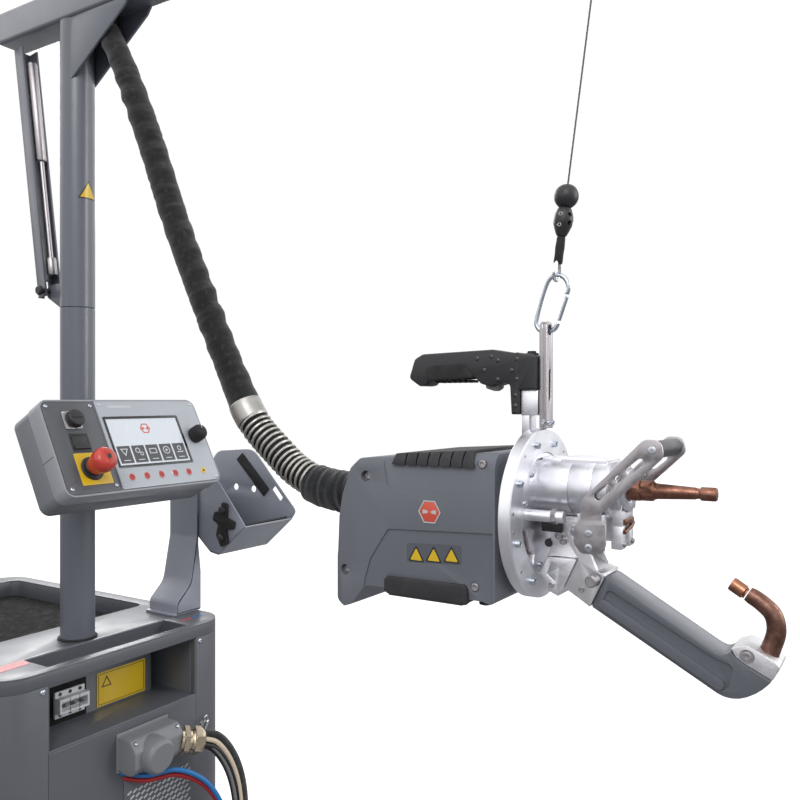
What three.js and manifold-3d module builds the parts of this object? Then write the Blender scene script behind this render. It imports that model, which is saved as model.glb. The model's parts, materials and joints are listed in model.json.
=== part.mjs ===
// Mobile spot welding station: wheeled power source, mast, swivelling boom and suspended welding gun.
// Millimetres, +Z up. Origin on the floor at the centre of the machine's outline seen from above. +X is
// to the right when facing the cart's front, and the front, the boom and the gun point along -Y. The
// sub-parts are laid out from the mast's axis, and the whole group is then moved to its origin.
import * as THREE from "three";
import { mergeVertices } from "three/addons/utils/BufferGeometryUtils.js";
import Module from "manifold-3d";

const wasm = await Module();
wasm.setup();

// ---------------------------------------------------------------- driving dimensions
const OUTLINE_CENTRE = { x: 84.5, y: -291.65 };     // from the mast's axis
const GAP = 0.3;                                   // clearance between pieces that rest on each other
const CART = { centreX: 12, halfWidth: 247, frontY: -125, backY: 600, corner: 80, floorZ: 190,
    lipZ: 826, topZ: 850 };
const WALL = 4;                                    // cabinet and lip thickness
const OPENING = { left: -147, right: 172, sill: 215 };     // front opening between the corner pillars
const CHASSIS_Z = 172;                             // underside of the base plate
const SHELF_Z = 720;
const ALCOVE_Y = -35;                              // face that carries the circuit breaker
const TRAY = { halfWidth: 217, frontY: 90, backY: 545, floorZ: 810, corner: 25 };
const REAR_WHEEL = { radius: 80, width: 40, y: 470, offset: 208 };
const CASTER = { radius: 60, width: 34, trail: 30, y: -40, offset: 160 };
const MAST = { radius: 30.15, bore: 27, seamZ: 1450, topZ: 1968 };
const PANEL = { topY: -120, topZ: 1284, tilt: 28, width: 330, height: 172, bezel: 32, box: 45,
    corner: 18 };
const HOLDER = { left: 260, right: 401, sheet: 3 };
const BOOM = { tipY: -1060, tailY: 200, size: 60, wall: 4 };
const BALANCER = { y: -985, z: 1878, radius: 70, halfWidth: 32 };
const WIRE_LEAN = 0.135;                           // metres forward per metre of rise
const WIRE_FOOT = { y: -930, z: 1470 };            // point on the wire's line, just above its sleeve
const GUN = { y: -911, z: 1144 };                  // centre of the rotary ring's front face
const RING = { radius: 104, bore: 74, thickness: 16 };
const HOUSING = { halfWidth: 85, wall: 4, shoulder: 24 };
const ELECTRODE_Z = 34;                            // electrode axis above the ring's centre
const ARM_PIVOT = { y: -49, z: -16 };
const CAP_RADIUS = 7.8;

// ---------------------------------------------------------------- shape helpers
// A closed geometry as a solid: only positions are kept, shared corners are merged and slivers dropped.
function solidOf(geometry) {
  const bare = geometry.clone();
  bare.deleteAttribute("normal");
  bare.deleteAttribute("uv");
  const merged = mergeVertices(bare, 1e-4);
  const corners = merged.index.array;
  const kept = [];
  for (let i = 0; i < corners.length; i += 3) {
    const [a, b, c] = [corners[i], corners[i + 1], corners[i + 2]];
    if (a !== b && b !== c && c !== a) kept.push(a, b, c);
  }
  const vertProperties = Float32Array.from(merged.attributes.position.array);
  return new wasm.Manifold(new wasm.Mesh({ numProp: 3, vertProperties,
      triVerts: Uint32Array.from(kept) }));
}

function geometryOf(solid) {
  const mesh = solid.getMesh();
  const geometry = new THREE.BufferGeometry();
  geometry.setAttribute("position",
      new THREE.BufferAttribute(Float32Array.from(mesh.vertProperties), 3));
  geometry.setIndex(new THREE.BufferAttribute(Uint32Array.from(mesh.triVerts), 1));
  geometry.computeVertexNormals();
  return geometry;
}

const join = (...solids) => solids.reduce((whole, next) => whole.add(next));
const cut = (solid, ...tools) => tools.reduce((whole, next) => whole.subtract(next), solid);

function block(x0, x1, y0, y1, z0, z1) {
  const geometry = new THREE.BoxGeometry(x1 - x0, y1 - y0, z1 - z0);
  geometry.translate((x0 + x1) / 2, (y0 + y1) / 2, (z0 + z1) / 2);
  return solidOf(geometry);
}

// Shape with every corner rounded; radius is one number or one per corner.
function rounded(points, radius) {
  const shape = new THREE.Shape();
  const at = points.map(([x, y]) => new THREE.Vector2(x, y));
  at.forEach((corner, i) => {
    const before = at[(i + at.length - 1) % at.length];
    const after = at[(i + 1) % at.length];
    const wanted = Array.isArray(radius) ? radius[i] : radius;
    const toBefore = before.clone().sub(corner);
    const toAfter = after.clone().sub(corner);
    const reach = Math.min(wanted, toBefore.length() * 0.49, toAfter.length() * 0.49);
    const start = corner.clone().add(toBefore.setLength(reach));
    const end = corner.clone().add(toAfter.setLength(reach));
    if (i === 0) shape.moveTo(start.x, start.y);
    else shape.lineTo(start.x, start.y);
    if (reach > 0.01) shape.quadraticCurveTo(corner.x, corner.y, end.x, end.y);
  });
  shape.closePath();
  return shape;
}

const sharp = (points) => new THREE.Shape(points.map(([x, y]) => new THREE.Vector2(x, y)));
const rectangle = (x0, x1, y0, y1) => [[x0, y0], [x1, y0], [x1, y1], [x0, y1]];

function circle(x, y, radius, count) {
  const points = [];
  for (let i = 0; i < count; i++) {
    const angle = (2 * Math.PI * i) / count;
    points.push([x + radius * Math.cos(angle), y + radius * Math.sin(angle)]);
  }
  return points;
}

// Slot between two centres, as a closed list of points.
function slot([x0, y0], [x1, y1], radius) {
  const along = Math.atan2(y1 - y0, x1 - x0);
  const points = [];
  for (const [x, y, start] of [[x1, y1, along - Math.PI / 2], [x0, y0, along + Math.PI / 2]]) {
    for (let i = 0; i <= 4; i++) {
      const angle = start + (Math.PI * i) / 4;
      points.push([x + radius * Math.cos(angle), y + radius * Math.sin(angle)]);
    }
  }
  return points;
}

function extruded(shape, length, bevel, steps) {
  const geometry = new THREE.ExtrudeGeometry(shape, {
    depth: length - 2 * bevel, curveSegments: steps, steps: 1, bevelEnabled: bevel > 0,
    bevelSize: bevel, bevelOffset: -bevel, bevelThickness: bevel, bevelSegments: bevel > 5 ? 3 : 1,
  });
  geometry.translate(0, 0, bevel);
  return geometry;
}

const asShape = (outline) => (Array.isArray(outline) ? sharp(outline) : outline);

// Prisms along X, Y and Z. Their outlines are given in (y, z), (x, z) and (x, y).
function prismX(outline, x0, x1, bevel = 0, steps = 4) {
  const geometry = extruded(asShape(outline), x1 - x0, bevel, steps);
  geometry.applyMatrix4(new THREE.Matrix4().set(0, 0, 1, x0, 1, 0, 0, 0, 0, 1, 0, 0, 0, 0, 0, 1));
  return solidOf(geometry);
}

function prismY(outline, y0, y1, bevel = 0, steps = 4) {
  const geometry = extruded(asShape(outline), y1 - y0, bevel, steps);
  geometry.applyMatrix4(new THREE.Matrix4().set(1, 0, 0, 0, 0, 0, -1, y1, 0, 1, 0, 0, 0, 0, 0, 1));
  return solidOf(geometry);
}

function prismZ(outline, z0, z1, bevel = 0, steps = 4) {
  const geometry = extruded(asShape(outline), z1 - z0, bevel, steps);
  geometry.translate(0, 0, z0);
  return solidOf(geometry);
}

function turnTo(geometry, from, direction) {
  const turn = new THREE.Quaternion().setFromUnitVectors(new THREE.Vector3(0, 1, 0),
      direction.normalize());
  geometry.applyQuaternion(turn);
  geometry.translate(from[0], from[1], from[2]);
  return geometry;
}

// Straight round bar between two points.
function bar(from, to, radius, sides = 16, endRadius = radius) {
  const axis = new THREE.Vector3(...to).sub(new THREE.Vector3(...from));
  const geometry = new THREE.CylinderGeometry(endRadius, radius, axis.length(), sides);
  geometry.translate(0, axis.length() / 2, 0);
  return solidOf(turnTo(geometry, from, axis));
}

// Body turned about the line through a point: the profile lists [radius, distance along the direction].
function turned(profile, from, direction, sides = 20) {
  const geometry = new THREE.LatheGeometry(profile.map(([r, h]) => new THREE.Vector2(r, h)), sides);
  return solidOf(turnTo(geometry, from, new THREE.Vector3(...direction)));
}

// Round bar bent along a smooth curve through the points.
function bent(points, radius, steps, sides = 10) {
  const path = new THREE.CatmullRomCurve3(points.map((p) => new THREE.Vector3(...p)), false,
      "centripetal");
  const section = sharp(circle(0, 0, radius, sides));
  return solidOf(new THREE.ExtrudeGeometry(section, { steps, bevelEnabled: false, extrudePath: path }));
}

// Outline moved inwards by a distance, corner by corner.
function inset(points, distance) {
  const area = points.reduce((sum, [x, y], i) => {
    const [nextX, nextY] = points[(i + 1) % points.length];
    return sum + x * nextY - nextX * y;
  }, 0);
  const inward = Math.sign(area);
  return points.map((point, i) => {
    const at = new THREE.Vector2(...point);
    const last = new THREE.Vector2(...points[(i + points.length - 1) % points.length]);
    const into = at.clone().sub(last).normalize();
    const out = new THREE.Vector2(...points[(i + 1) % points.length]).sub(at).normalize();
    const normalIn = new THREE.Vector2(-into.y, into.x).multiplyScalar(inward);
    const normalOut = new THREE.Vector2(-out.y, out.x).multiplyScalar(inward);
    const middle = normalIn.clone().add(normalOut).normalize();
    const shift = distance / Math.max(middle.dot(normalIn), 0.4);
    return [at.x + middle.x * shift, at.y + middle.y * shift];
  });
}

// ---------------------------------------------------------------- finishes
const finish = (color, roughness, metalness) => ({ color, roughness, metalness });
const CART_PAINT = finish(0x5a5d62, 0.45, 0.3);
const MAST_PAINT = finish(0x666a73, 0.42, 0.3);
const ARM_PAINT = finish(0x676a72, 0.45, 0.3);
const HOLDER_PAINT = finish(0x757983, 0.45, 0.3);
const PANEL_LIGHT = finish(0xb4b7bd, 0.45, 0.2);
const PANEL_DARK = finish(0x64676b, 0.5, 0.2);
const HOUSING_PLASTIC = finish(0x696c73, 0.55, 0);
const BLACK_RUBBER = finish(0x262627, 0.8, 0);
const BLACK_PLASTIC = finish(0x2c2c2e, 0.5, 0);
const ALUMINIUM = finish(0xd4d4d8, 0.3, 1);
const STEEL = finish(0x8a888c, 0.35, 1);
const ZINC = finish(0xb9bcc0, 0.3, 1);
const COPPER = finish(0xb0705a, 0.35, 1);
const SLEEVE = finish(0x383838, 0.9, 0);
const WHITE_PLASTIC = finish(0xdfe1e2, 0.4, 0);
const RED = finish(0xc93a30, 0.4, 0);
const GREY_PLASTIC = finish(0x8b8d91, 0.5, 0);

const machine = new THREE.Group();
machine.position.set(-OUTLINE_CENTRE.x, -OUTLINE_CENTRE.y, 0);
const gun = new THREE.Group();
gun.position.set(0, GUN.y, GUN.z);
machine.add(gun);
const panel = new THREE.Group();
panel.position.set(0, PANEL.topY, PANEL.topZ);
panel.rotation.x = -THREE.MathUtils.degToRad(PANEL.tilt);
machine.add(panel);

function place(group, name, solid, look) {
  const mesh = new THREE.Mesh(geometryOf(solid), new THREE.MeshStandardMaterial(look));
  mesh.name = name;
  group.add(mesh);
  return mesh;
}

// ---------------------------------------------------------------- cart
function cartOutline(margin) {
  const { centreX, halfWidth, frontY, backY, corner } = CART;
  const sides = rectangle(centreX - halfWidth + margin, centreX + halfWidth - margin, frontY + margin,
      backY - margin);
  return rounded(sides, corner - margin);
}

function buildChassis() {
  const { centreX } = CART;
  const plate = prismZ(cartOutline(6), CHASSIS_Z, CART.floorZ, 0, 4);
  const axleLeft = centreX - REAR_WHEEL.offset - REAR_WHEEL.width / 2 - 2;
  const axleRight = centreX + REAR_WHEEL.offset + REAR_WHEEL.width / 2 + 2;
  const axle = bar([axleLeft, REAR_WHEEL.y, REAR_WHEEL.radius],
      [axleRight, REAR_WHEEL.y, REAR_WHEEL.radius], 10);
  const bracket = (x) => block(x - 5, x + 5, REAR_WHEEL.y - 30, REAR_WHEEL.y + 30,
      REAR_WHEEL.radius - 18, 175);
  place(machine, "chassis", join(plate, axle, bracket(centreX - 160), bracket(centreX + 160)),
      CART_PAINT);

  const shell = cut(
    prismZ(cartOutline(0), CART.floorZ + GAP, CART.lipZ - GAP, 0, 4),
    prismZ(cartOutline(WALL), 0, 1000, 0, 4),
    block(OPENING.left, OPENING.right, CART.frontY - 5, CART.frontY + 12, OPENING.sill, 1000),
  );
  place(machine, "cabinet", shell, CART_PAINT);
}

function buildRearWheel(name, side) {
  const { radius, width, y, offset } = REAR_WHEEL;
  const half = width / 2;
  const profile = [[10.8, -half], [30, -half], [38, -half + 8], [58, -half + 8], [62, -half],
      [radius, -half + 5],
    [radius, half - 5], [62, half], [58, half - 8], [38, half - 8], [30, half], [10.8, half],
        [10.8, -half]];
  place(machine, name, turned(profile, [CART.centreX + side * offset, y, radius], [1, 0, 0], 16),
      BLACK_RUBBER);
}

function buildCaster(side) {
  const { radius, width, trail, y, offset } = CASTER;
  const x = CART.centreX + side * offset;
  const axleY = y + trail;
  const crown = 134;
  const word = side < 0 ? "left" : "right";
  const cheek = (near, far) => prismX(
    rounded([[axleY - 13, radius - 13], [axleY + 13, radius - 13], [y + 30, crown], [y - 30, crown]],
        [11, 11, 3, 3]), near, far,
  );
  const inner = width / 2 + 2;
  const fork = join(
    cheek(x - inner - 4, x - inner),
    cheek(x + inner, x + inner + 4),
    block(x - inner - 4, x + inner + 4, y - 30, y + 30, crown - 4, crown + 2),
    bar([x, y, crown], [x, y, CHASSIS_Z - GAP], 20, 12),
    bar([x - inner - 2, axleY, radius], [x + inner + 2, axleY, radius], 6, 8),
  );
  place(machine, `caster_fork_${word}`, fork, ZINC);
  const half = width / 2;
  const profile = [[6.8, -half], [18, -half], [22, -half + 5], [44, -half + 5], [48, -half],
      [radius, -half + 4],
    [radius, half - 4], [48, half], [44, half - 5], [22, half - 5], [18, half], [6.8, half],
        [6.8, -half]];
  place(machine, `caster_wheel_${word}`, turned(profile, [x, axleY, radius], [1, 0, 0], 14),
      BLACK_RUBBER);
}

function buildTop() {
  const { centreX, lipZ, topZ } = CART;
  const { halfWidth, frontY, backY, floorZ, corner } = TRAY;
  const [left, right] = [centreX - halfWidth, centreX + halfWidth];
  const pan = (margin, low, high) => prismZ(
    rounded(rectangle(left - margin, right + margin, frontY - margin, backY + margin), corner), low,
        high,
  );
  const cap = cut(
    join(
      cut(prismZ(cartOutline(0), lipZ, topZ, 0, 4),
          prismZ(cartOutline(WALL), lipZ - 1, topZ - WALL, 0, 4)),
      pan(WALL, floorZ - WALL, topZ - WALL + 1),
    ),
    pan(0, floorZ, topZ + 1),
    prismZ(circle(0, 0, MAST.radius + 0.6, 24), 0, 1000),
    block(-134, 167, -107, -40, lipZ, topZ + 1),
  );
  place(machine, "top_plate", cap, CART_PAINT);
}

function buildFront() {
  const left = OPENING.left + 0.5;
  const right = OPENING.right - 0.5;
  const top = CART.lipZ - 2;
  const sheet = 4;
  const recess = 140;                              // where the alcove steps back to its deep right end
  const deepY = 20;
  const front = join(
    block(left, right, CART.frontY, CART.frontY + sheet, OPENING.sill + GAP, SHELF_Z),
    block(left, right, CART.frontY, ALCOVE_Y + sheet, SHELF_Z - sheet, SHELF_Z),
    block(recess, right, ALCOVE_Y, deepY, SHELF_Z - sheet, SHELF_Z),
    block(left, recess, ALCOVE_Y, ALCOVE_Y + sheet, SHELF_Z - 1, top),
    block(recess - sheet, recess, ALCOVE_Y, deepY, SHELF_Z - 1, top),
    block(recess - sheet, right, deepY, deepY + sheet, SHELF_Z - sheet, top),
    block(left, left + sheet, CART.frontY + 12, ALCOVE_Y + 1, SHELF_Z - 1, top),
    block(right - sheet, right, CART.frontY + 12, deepY + 1, SHELF_Z - 1, top),
  );
  const mastHole = prismZ(circle(0, 0, MAST.radius + 1, 24), 0, 1000);
  const plugHole = prismY(circle(36, 668, 24, 12), CART.frontY - 5, CART.frontY + 10);
  const loomHole = prismY(circle(124, 299, 24, 12), CART.frontY - 5, CART.frontY + 10);
  place(machine, "front_panel", cut(front, mastHole, plugHole, loomHole), CART_PAINT);
}

function buildInside() {
  const ribs = [];
  for (let y = 130; y <= 480; y += 50) ribs.push(block(-140, 164, y, y + 12, 430, 460));
  place(machine, "inverter_unit", join(block(-160, 184, 100, 520, CART.floorZ + GAP, 440), ...ribs),
      ALUMINIUM);
  const tank = prismZ(rounded(rectangle(-150, 174, 120, 500), 30), 480, 760, 6);
  place(machine, "coolant_tank", join(tank, bar([130, 200, 755], [130, 200, 782], 28, 16)),
      WHITE_PLASTIC);
}

function buildBreaker() {
  const [left, right, low, high] = [-75, -15, 731, 777];
  const face = ALCOVE_Y - GAP;
  const middle = (low + high) / 2;
  const body = cut(
    join(block(left, right, face - 5, face, low, high),
        block(left, right, face - 19, face - 4, low + 10, high - 10)),
    block(left + 4, right - 4, face - 20, face - 5, middle - 9, middle + 7),
  );
  place(machine, "breaker_body", body, WHITE_PLASTIC);
  const hinge = [face - 11, middle - 1];
  const key = (x) => prismX([[hinge[0] - 3.5, hinge[1] - 3], [hinge[0] + 3.5, hinge[1] - 3],
      [hinge[0] - 8, hinge[1] + 6.5],
    [hinge[0] - 12, hinge[1] + 3]], x, x + 7);
  const keys = [left + 9, left + 26.5, left + 44].map(key);
  const tie = bar([left + 6, ...hinge], [right - 6, ...hinge], 2.6, 8);
  place(machine, "breaker_lever", join(tie, ...keys), BLACK_PLASTIC);
}

// Plug hood on the lower front panel, its cable gland and the loom that loops back into the cabinet.
function buildPlug() {
  const back = CART.frontY - GAP;
  const hood = join(
    prismX(rounded([[back, 640], [back, 700], [back - 34, 698], [back - 48, 680], [back - 48, 650],
        [back - 34, 636]], 7), -14, 96, 3, 2),
    turned([[0, 0], [30, 0], [30, 36], [24, 42], [0, 42]], [30, -150, 667], [0, -1, -0.12], 14),
  );
  const mouth = [97.5, -162, 664];
  const out = [0.86, -0.46, -0.22];
  const gland = turned([[14, -6], [21, -6], [24, 8], [24, 20], [22, 26], [25, 28], [25, 40], [22, 44],
      [14, 44], [14, -6]],
    mouth, out, 14);
  const throat = turned([[0, -8], [14, -8], [14, 60], [0, 60]], mouth, out, 14);
  place(machine, "plug_hood", cut(join(hood, gland), throat), GREY_PLASTIC);
  const loom = bent([[139, -184, 653], [152, -191, 647], [172, -203, 618], [190, -214, 560],
      [196, -214, 470], [184, -196, 380],
    [160, -168, 322], [140, -150, 306], [128, -126.5, 300]], 13, 16, 8);
  place(machine, "cable_loom", loom, BLACK_RUBBER);
}

// ---------------------------------------------------------------- mast, boom and suspension
function buildMast() {
  const tube = (low, high) => turned([[MAST.bore, low], [MAST.radius, low], [MAST.radius, high],
      [MAST.bore, high], [MAST.bore, low]],
    [0, 0, 0], [0, 1e-9, 1], 24);
  const stand = turned([[MAST.bore, 0], [62, 0], [62, 8], [MAST.bore, 8], [MAST.bore, 0]],
      [0, 0, CART.floorZ + GAP], [0, 1e-9, 1], 24);
  place(machine, "mast_lower", join(tube(CART.floorZ + GAP, MAST.seamZ), stand), MAST_PAINT);

  const spigot = turned([[20, 0], [26.3, 0], [26.3, 140], [20, 140], [20, 0]],
      [0, 0, MAST.seamZ - 120], [0, 1e-9, 1], 16);
  const collar = turned([[20, 0], [28, 0], [28, 12], [20, 12], [20, 0]], [0, 0, MAST.seamZ + 8],
      [0, 1e-9, 1], 16);
  const lug = prismX([[27.5, 1452], [45, 1454], [84, 1476], [84, 1494], [68, 1498], [27.5, 1500]], -5,
      5);

  const { tipY, tailY, size, wall } = BOOM;
  const low = MAST.topZ;
  const half = size / 2;
  const arm = cut(
    block(-half, half, tipY, tailY, low, low + size),
    block(-half + wall, half - wall, tipY - 1, tailY + 1, low + wall, low + size - wall),
  );
  const gusset = (x) => prismX([[-16, low - 110], [-16, low + 1], [-170, low + 1], [-160, low - 12]],
      x - 2, x + 2);
  place(machine, "boom", join(tube(MAST.seamZ + 0.8, low + 1), spigot, collar, lug, arm, gusset(-24),
      gusset(24)), MAST_PAINT);
}

// Slotted channel and gas spring that brace the boom's tail. They share one leaning group.
function buildStrut() {
  const foot = { y: 76, z: 1486 };
  const head = { y: 152, z: MAST.topZ - GAP };
  const strut = new THREE.Group();
  strut.position.set(0, foot.y, foot.z);
  strut.rotation.x = -Math.atan2(head.y - foot.y, head.z - foot.z);
  machine.add(strut);
  const length = Math.hypot(head.y - foot.y, head.z - foot.z) - 12;
  const wide = 17;
  const channel = cut(
    block(-wide, wide, -6, 18, -10, length),
    block(-wide + 3, wide - 3, -7, 15, -11, length + 1),
  );
  const holes = [];
  for (let z = 60; z < length - 20; z += 55) holes.push(bar([0, 10, z], [0, 20, z], 3.2, 6));
  const pin = bar([-wide - 6, 1, 0], [wide + 6, 1, 0], 5.5, 10);
  const pinHole = bar([-5.6, 1, 0], [5.6, 1, 0], 30, 12);
  place(strut, "strut_channel", cut(join(cut(channel, ...holes), pin), pinHole), ARM_PAINT);
  const spring = turned([[0, 30], [9, 30], [9, 62], [5, 64], [5, 250], [9.5, 252], [9.5, length - 30],
      [0, length - 30]],
    [0, -7, 0], [0, 1e-9, 1], 12);
  place(strut, "gas_spring", spring, ZINC);
}

const wireAt = (z) => [0, WIRE_FOOT.y - (z - WIRE_FOOT.z) * WIRE_LEAN, z];

function buildSuspension() {
  const { y, z, radius, halfWidth } = BALANCER;
  const drum = turned([[0, -halfWidth], [radius - 14, -halfWidth], [radius, -halfWidth + 12],
      [radius, halfWidth - 12],
    [radius - 14, halfWidth], [0, halfWidth]], [0, y, z], [1, 0, 0], 18);
  const lug = block(-8, 8, y - 22, y + 22, z + radius - 6, MAST.topZ - GAP);
  const nozzle = bar(wireAt(z - radius + 8), wireAt(z - radius - 8), 14, 12);
  const throat = bar(wireAt(z - radius + 9), wireAt(z - radius - 12), 4, 8);
  place(machine, "balancer", cut(join(drum, lug, nozzle), throat), ARM_PAINT);

  const wireTop = z - radius + 6;
  place(machine, "wire_rope", bar(wireAt(1548), wireAt(wireTop), 1.6, 8), ZINC);
  const ball = turned([[0, -15], [8, -12.7], [13, -7.5], [15, 0], [13, 7.5], [8, 12.7], [0, 15]],
      wireAt(1531.5), [0, -WIRE_LEAN, 1], 12);
  const fitting = join(
    ball,
    bar(wireAt(1484), wireAt(1520), 11, 8),
    bar(wireAt(1486), wireAt(1450), 5.5, 10),
    bent([[-2.5, 1455], [-6.5, 1447], [-8.8, 1439], [-6, 1432.4], [0, 1430], [6, 1432.4], [8.8, 1439],
        [6.5, 1447], [2.5, 1455]]
      .map(([x, z]) => [x, wireAt(z)[1], z]), 2.2, 12, 6),
  );
  place(machine, "wire_end_fitting", fitting, BLACK_PLASTIC);

  const bow = bent([[0, -939, 1412], [0, -941, 1422], [0, -936, 1432.5], [0, -925, 1436.8],
      [0, -916, 1432], [0, -910, 1420], [0, -900, 1386],
    [0, -899.5, 1376], [0, -906, 1368.5], [0, -915, 1367.6], [0, -923, 1370.5], [0, -928, 1378]], 2.9,
        22, 6);
  place(machine, "snap_hook", bow, ZINC);
  place(machine, "snap_hook_gate", bar([0, -928.4, 1380.5], [0, -938.6, 1408.8], 2.7, 8), ZINC);
}

function buildHose() {
  const saddle = MAST.topZ - GAP;
  const path = [[0, -74, saddle - 3], [0, -75, saddle - 16], [0, -92, 1925], [0, -132, 1855],
      [0, -197, 1718],
    [0, -256, 1580], [0, -319, 1450], [0, -377, 1338], [0, -412, 1274]];
  place(machine, "hose_package", bent(path, 21, 14, 8), SLEEVE);
  const guard = [[0, -415, 1268.5], [0, -440, 1238], [0, -478, 1206], [0, -512, 1180], [0, -545, 1164]];
  place(machine, "hose_spring_guard", bent(guard, 25, 8, 10), ZINC);
}

// ---------------------------------------------------------------- gun holder
function buildHolder() {
  const { left, right, sheet } = HOLDER;
  const rise = join(
    block(190, 266, -41, 41, CART.topZ + GAP, CART.topZ + 5),
    prismY([[199, 852], [204, 852], [left - 1.5, 1010], [left - 1.5, 1096], [left - 6.5, 1096],
        [left - 6.5, 1011]], -41, 38),
    prismY([[200, 852], [265, 852], [265, 930], [left - 1.5, 985], [left - 1.5, 1050],
        [left - 6, 1050], [left - 7, 1011]], -41, -37),
  );
  place(machine, "holder_arm", rise, HOLDER_PAINT);

  const foot = [[-170, 1030], [-97, 968], [-73, 972], [40, 1066]];
  const strip = [...foot, ...foot.map(([y, z]) => [y + 0.5, z + sheet]).reverse()];
  const leftWall = rounded([[-170, 1031], [-97, 969], [-73, 973], [40, 1067], [40, 1108], [-60, 1111],
      [-92, 1121]], [4, 8, 8, 10, 10, 12, 6]);
  const rightWall = rounded([[-170, 1031], [-97, 969], [-73, 973], [40, 1067], [74, 1110], [53, 1168],
      [-60, 1176], [-182, 1048]],
    [6, 8, 8, 10, 20, 34, 40, 10]);
  const window = prismX([[-124, 1098], [-116, 1090], [-138, 1066], [-146, 1074]], right - 2, right + 6);
  const ports = [[-10, 1090], [-62, 1088]].map(([y, z]) => prismX(circle(y, z, 7, 12), right - 2,
      right + 6));
  const cradle = cut(
    join(
      prismX(strip, left, right + sheet),
      prismX(leftWall, left, left + sheet),
      prismX(rightWall, right, right + sheet),
    ),
    window, ...ports,
  );
  place(machine, "holder_cradle", cradle, HOLDER_PAINT);
}

// ---------------------------------------------------------------- control panel
// The panel's group has its origin at the middle of the face's top edge, +Z up the face and -Y out of it.
function buildPanel() {
  const { width, height, bezel, box, corner } = PANEL;
  const half = width / 2;
  const face = (margin) => rectangle(-half + margin, half - margin, -height + margin, -margin);
  const displayBox = [-52, 108, -128, -36];
  const frame = cut(
    prismY(rounded(face(0), corner), 0, bezel, 2.5, 4),
    prismY(rounded(face(5), corner), 5, bezel + 1),
    prismY(rectangle(...displayBox), -1, 6),
    prismY(circle(134, -78, 5, 12), -1, 6),
    prismY(circle(-105, -126, 12.5, 16), -1, 6),
    prismY(rectangle(-125, -96, -92, -66), -1, 6),
  );
  place(panel, "panel_bezel", frame, PANEL_LIGHT);
  const back = cut(
    prismY(rounded(face(1), corner), bezel + GAP, bezel + box, 3, 4),
    prismY(rounded(face(6), corner), bezel, bezel + box - 5),
  );
  place(panel, "panel_box", back, PANEL_DARK);
  place(panel, "display", prismY(rectangle(-51.6, 107.6, -127.6, -36.4), 0.8, 9), BLACK_PLASTIC);

  const stop = [-105, -126];
  place(panel, "estop_button", turned([[0, -18], [8, -18], [8, 6], [16.5, 9], [18.5, 24], [20, 27],
      [20, 38], [16, 45], [8, 48], [0, 48.5]],
    [stop[0], 0, stop[1]], [0, -1, 0], 14), RED);
  place(panel, "encoder_knob", turned([[0, -14], [3.5, -14], [3.5, 1], [9, 1.5], [13, 5], [15, 12],
      [14.5, 20], [11, 26], [0, 28]],
    [134, 0, -78], [0, -1, 0], 14), BLACK_RUBBER);
  place(panel, "rocker_switch", prismX(rounded([[3, -91.4], [7.5, -79], [3, -66.6], [-2.5, -67.5],
      [-0.5, -79], [-3.5, -90.5]], 1), -124.4, -96.6), BLACK_PLASTIC);
}

function buildBracket() {
  // Clamp round the mast with a tongue that reaches the panel's back.
  const collar = cut(
    join(block(-44, 44, -44, 40, 1178, 1228), block(-40, 40, -86, -40, 1183, 1223)),
    prismZ(circle(0, 0, MAST.radius + 0.5, 24), 1000, 1500),
  );
  const tilt = THREE.MathUtils.degToRad(PANEL.tilt);
  const reach = PANEL.bezel + PANEL.box + GAP;
  // Everything in front of the panel's rear plane is cut away.
  const rearY = (z) => PANEL.topY + reach / Math.cos(tilt) - (PANEL.topZ - z) * Math.tan(tilt);
  const wedge = [[rearY(1100), 1100], [rearY(1300), 1300], [-400, 1300], [-400, 1100]];
  const infront = prismX(wedge, -200, 200);
  place(machine, "panel_bracket", cut(collar, infront), ARM_PAINT);
}

// ---------------------------------------------------------------- gun
// In the gun's group the ring's front face is at y = 0, the nose points along -Y and the hose along +Y.
const HOUSING_SIDE = [[28, 77], [200, 66], [221, 64], [236, 50], [249, 15], [256, -14], [260, -60], [268, -76],
  [268, -120], [246, -131], [235, -127], [213, -100], [46, -100], [34, -103], [28, -96]];

// Side profile, front section and plan of the housing, crossed with each other, with a margin taken off.
function housingBody(margin) {
  const { halfWidth, shoulder } = HOUSING;
  const half = halfWidth - margin;
  const radii = [3, 10, 10, 10, 20, 10, 10, 6, 6, 6, 3, 12, 4, 3, 4];
  const side = margin > 0 ? sharp(inset(HOUSING_SIDE, margin)) : rounded(HOUSING_SIDE, radii);
  const section = rounded([[-half, -140], [half, -140], [half, 79 - margin], [-half, 79 - margin]],
      [1, 1, shoulder, shoulder]);
  const plan = rounded([[-half, 0], [half, 0], [half, 269 - margin], [-half, 269 - margin]],
      [1, 1, shoulder, shoulder]);
  const seenFromSide = prismX(side, -halfWidth, halfWidth);
  const seenFromFront = prismY(section, 0, 300);
  return seenFromSide.intersect(seenFromFront).intersect(prismZ(plan, -200, 200));
}

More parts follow.
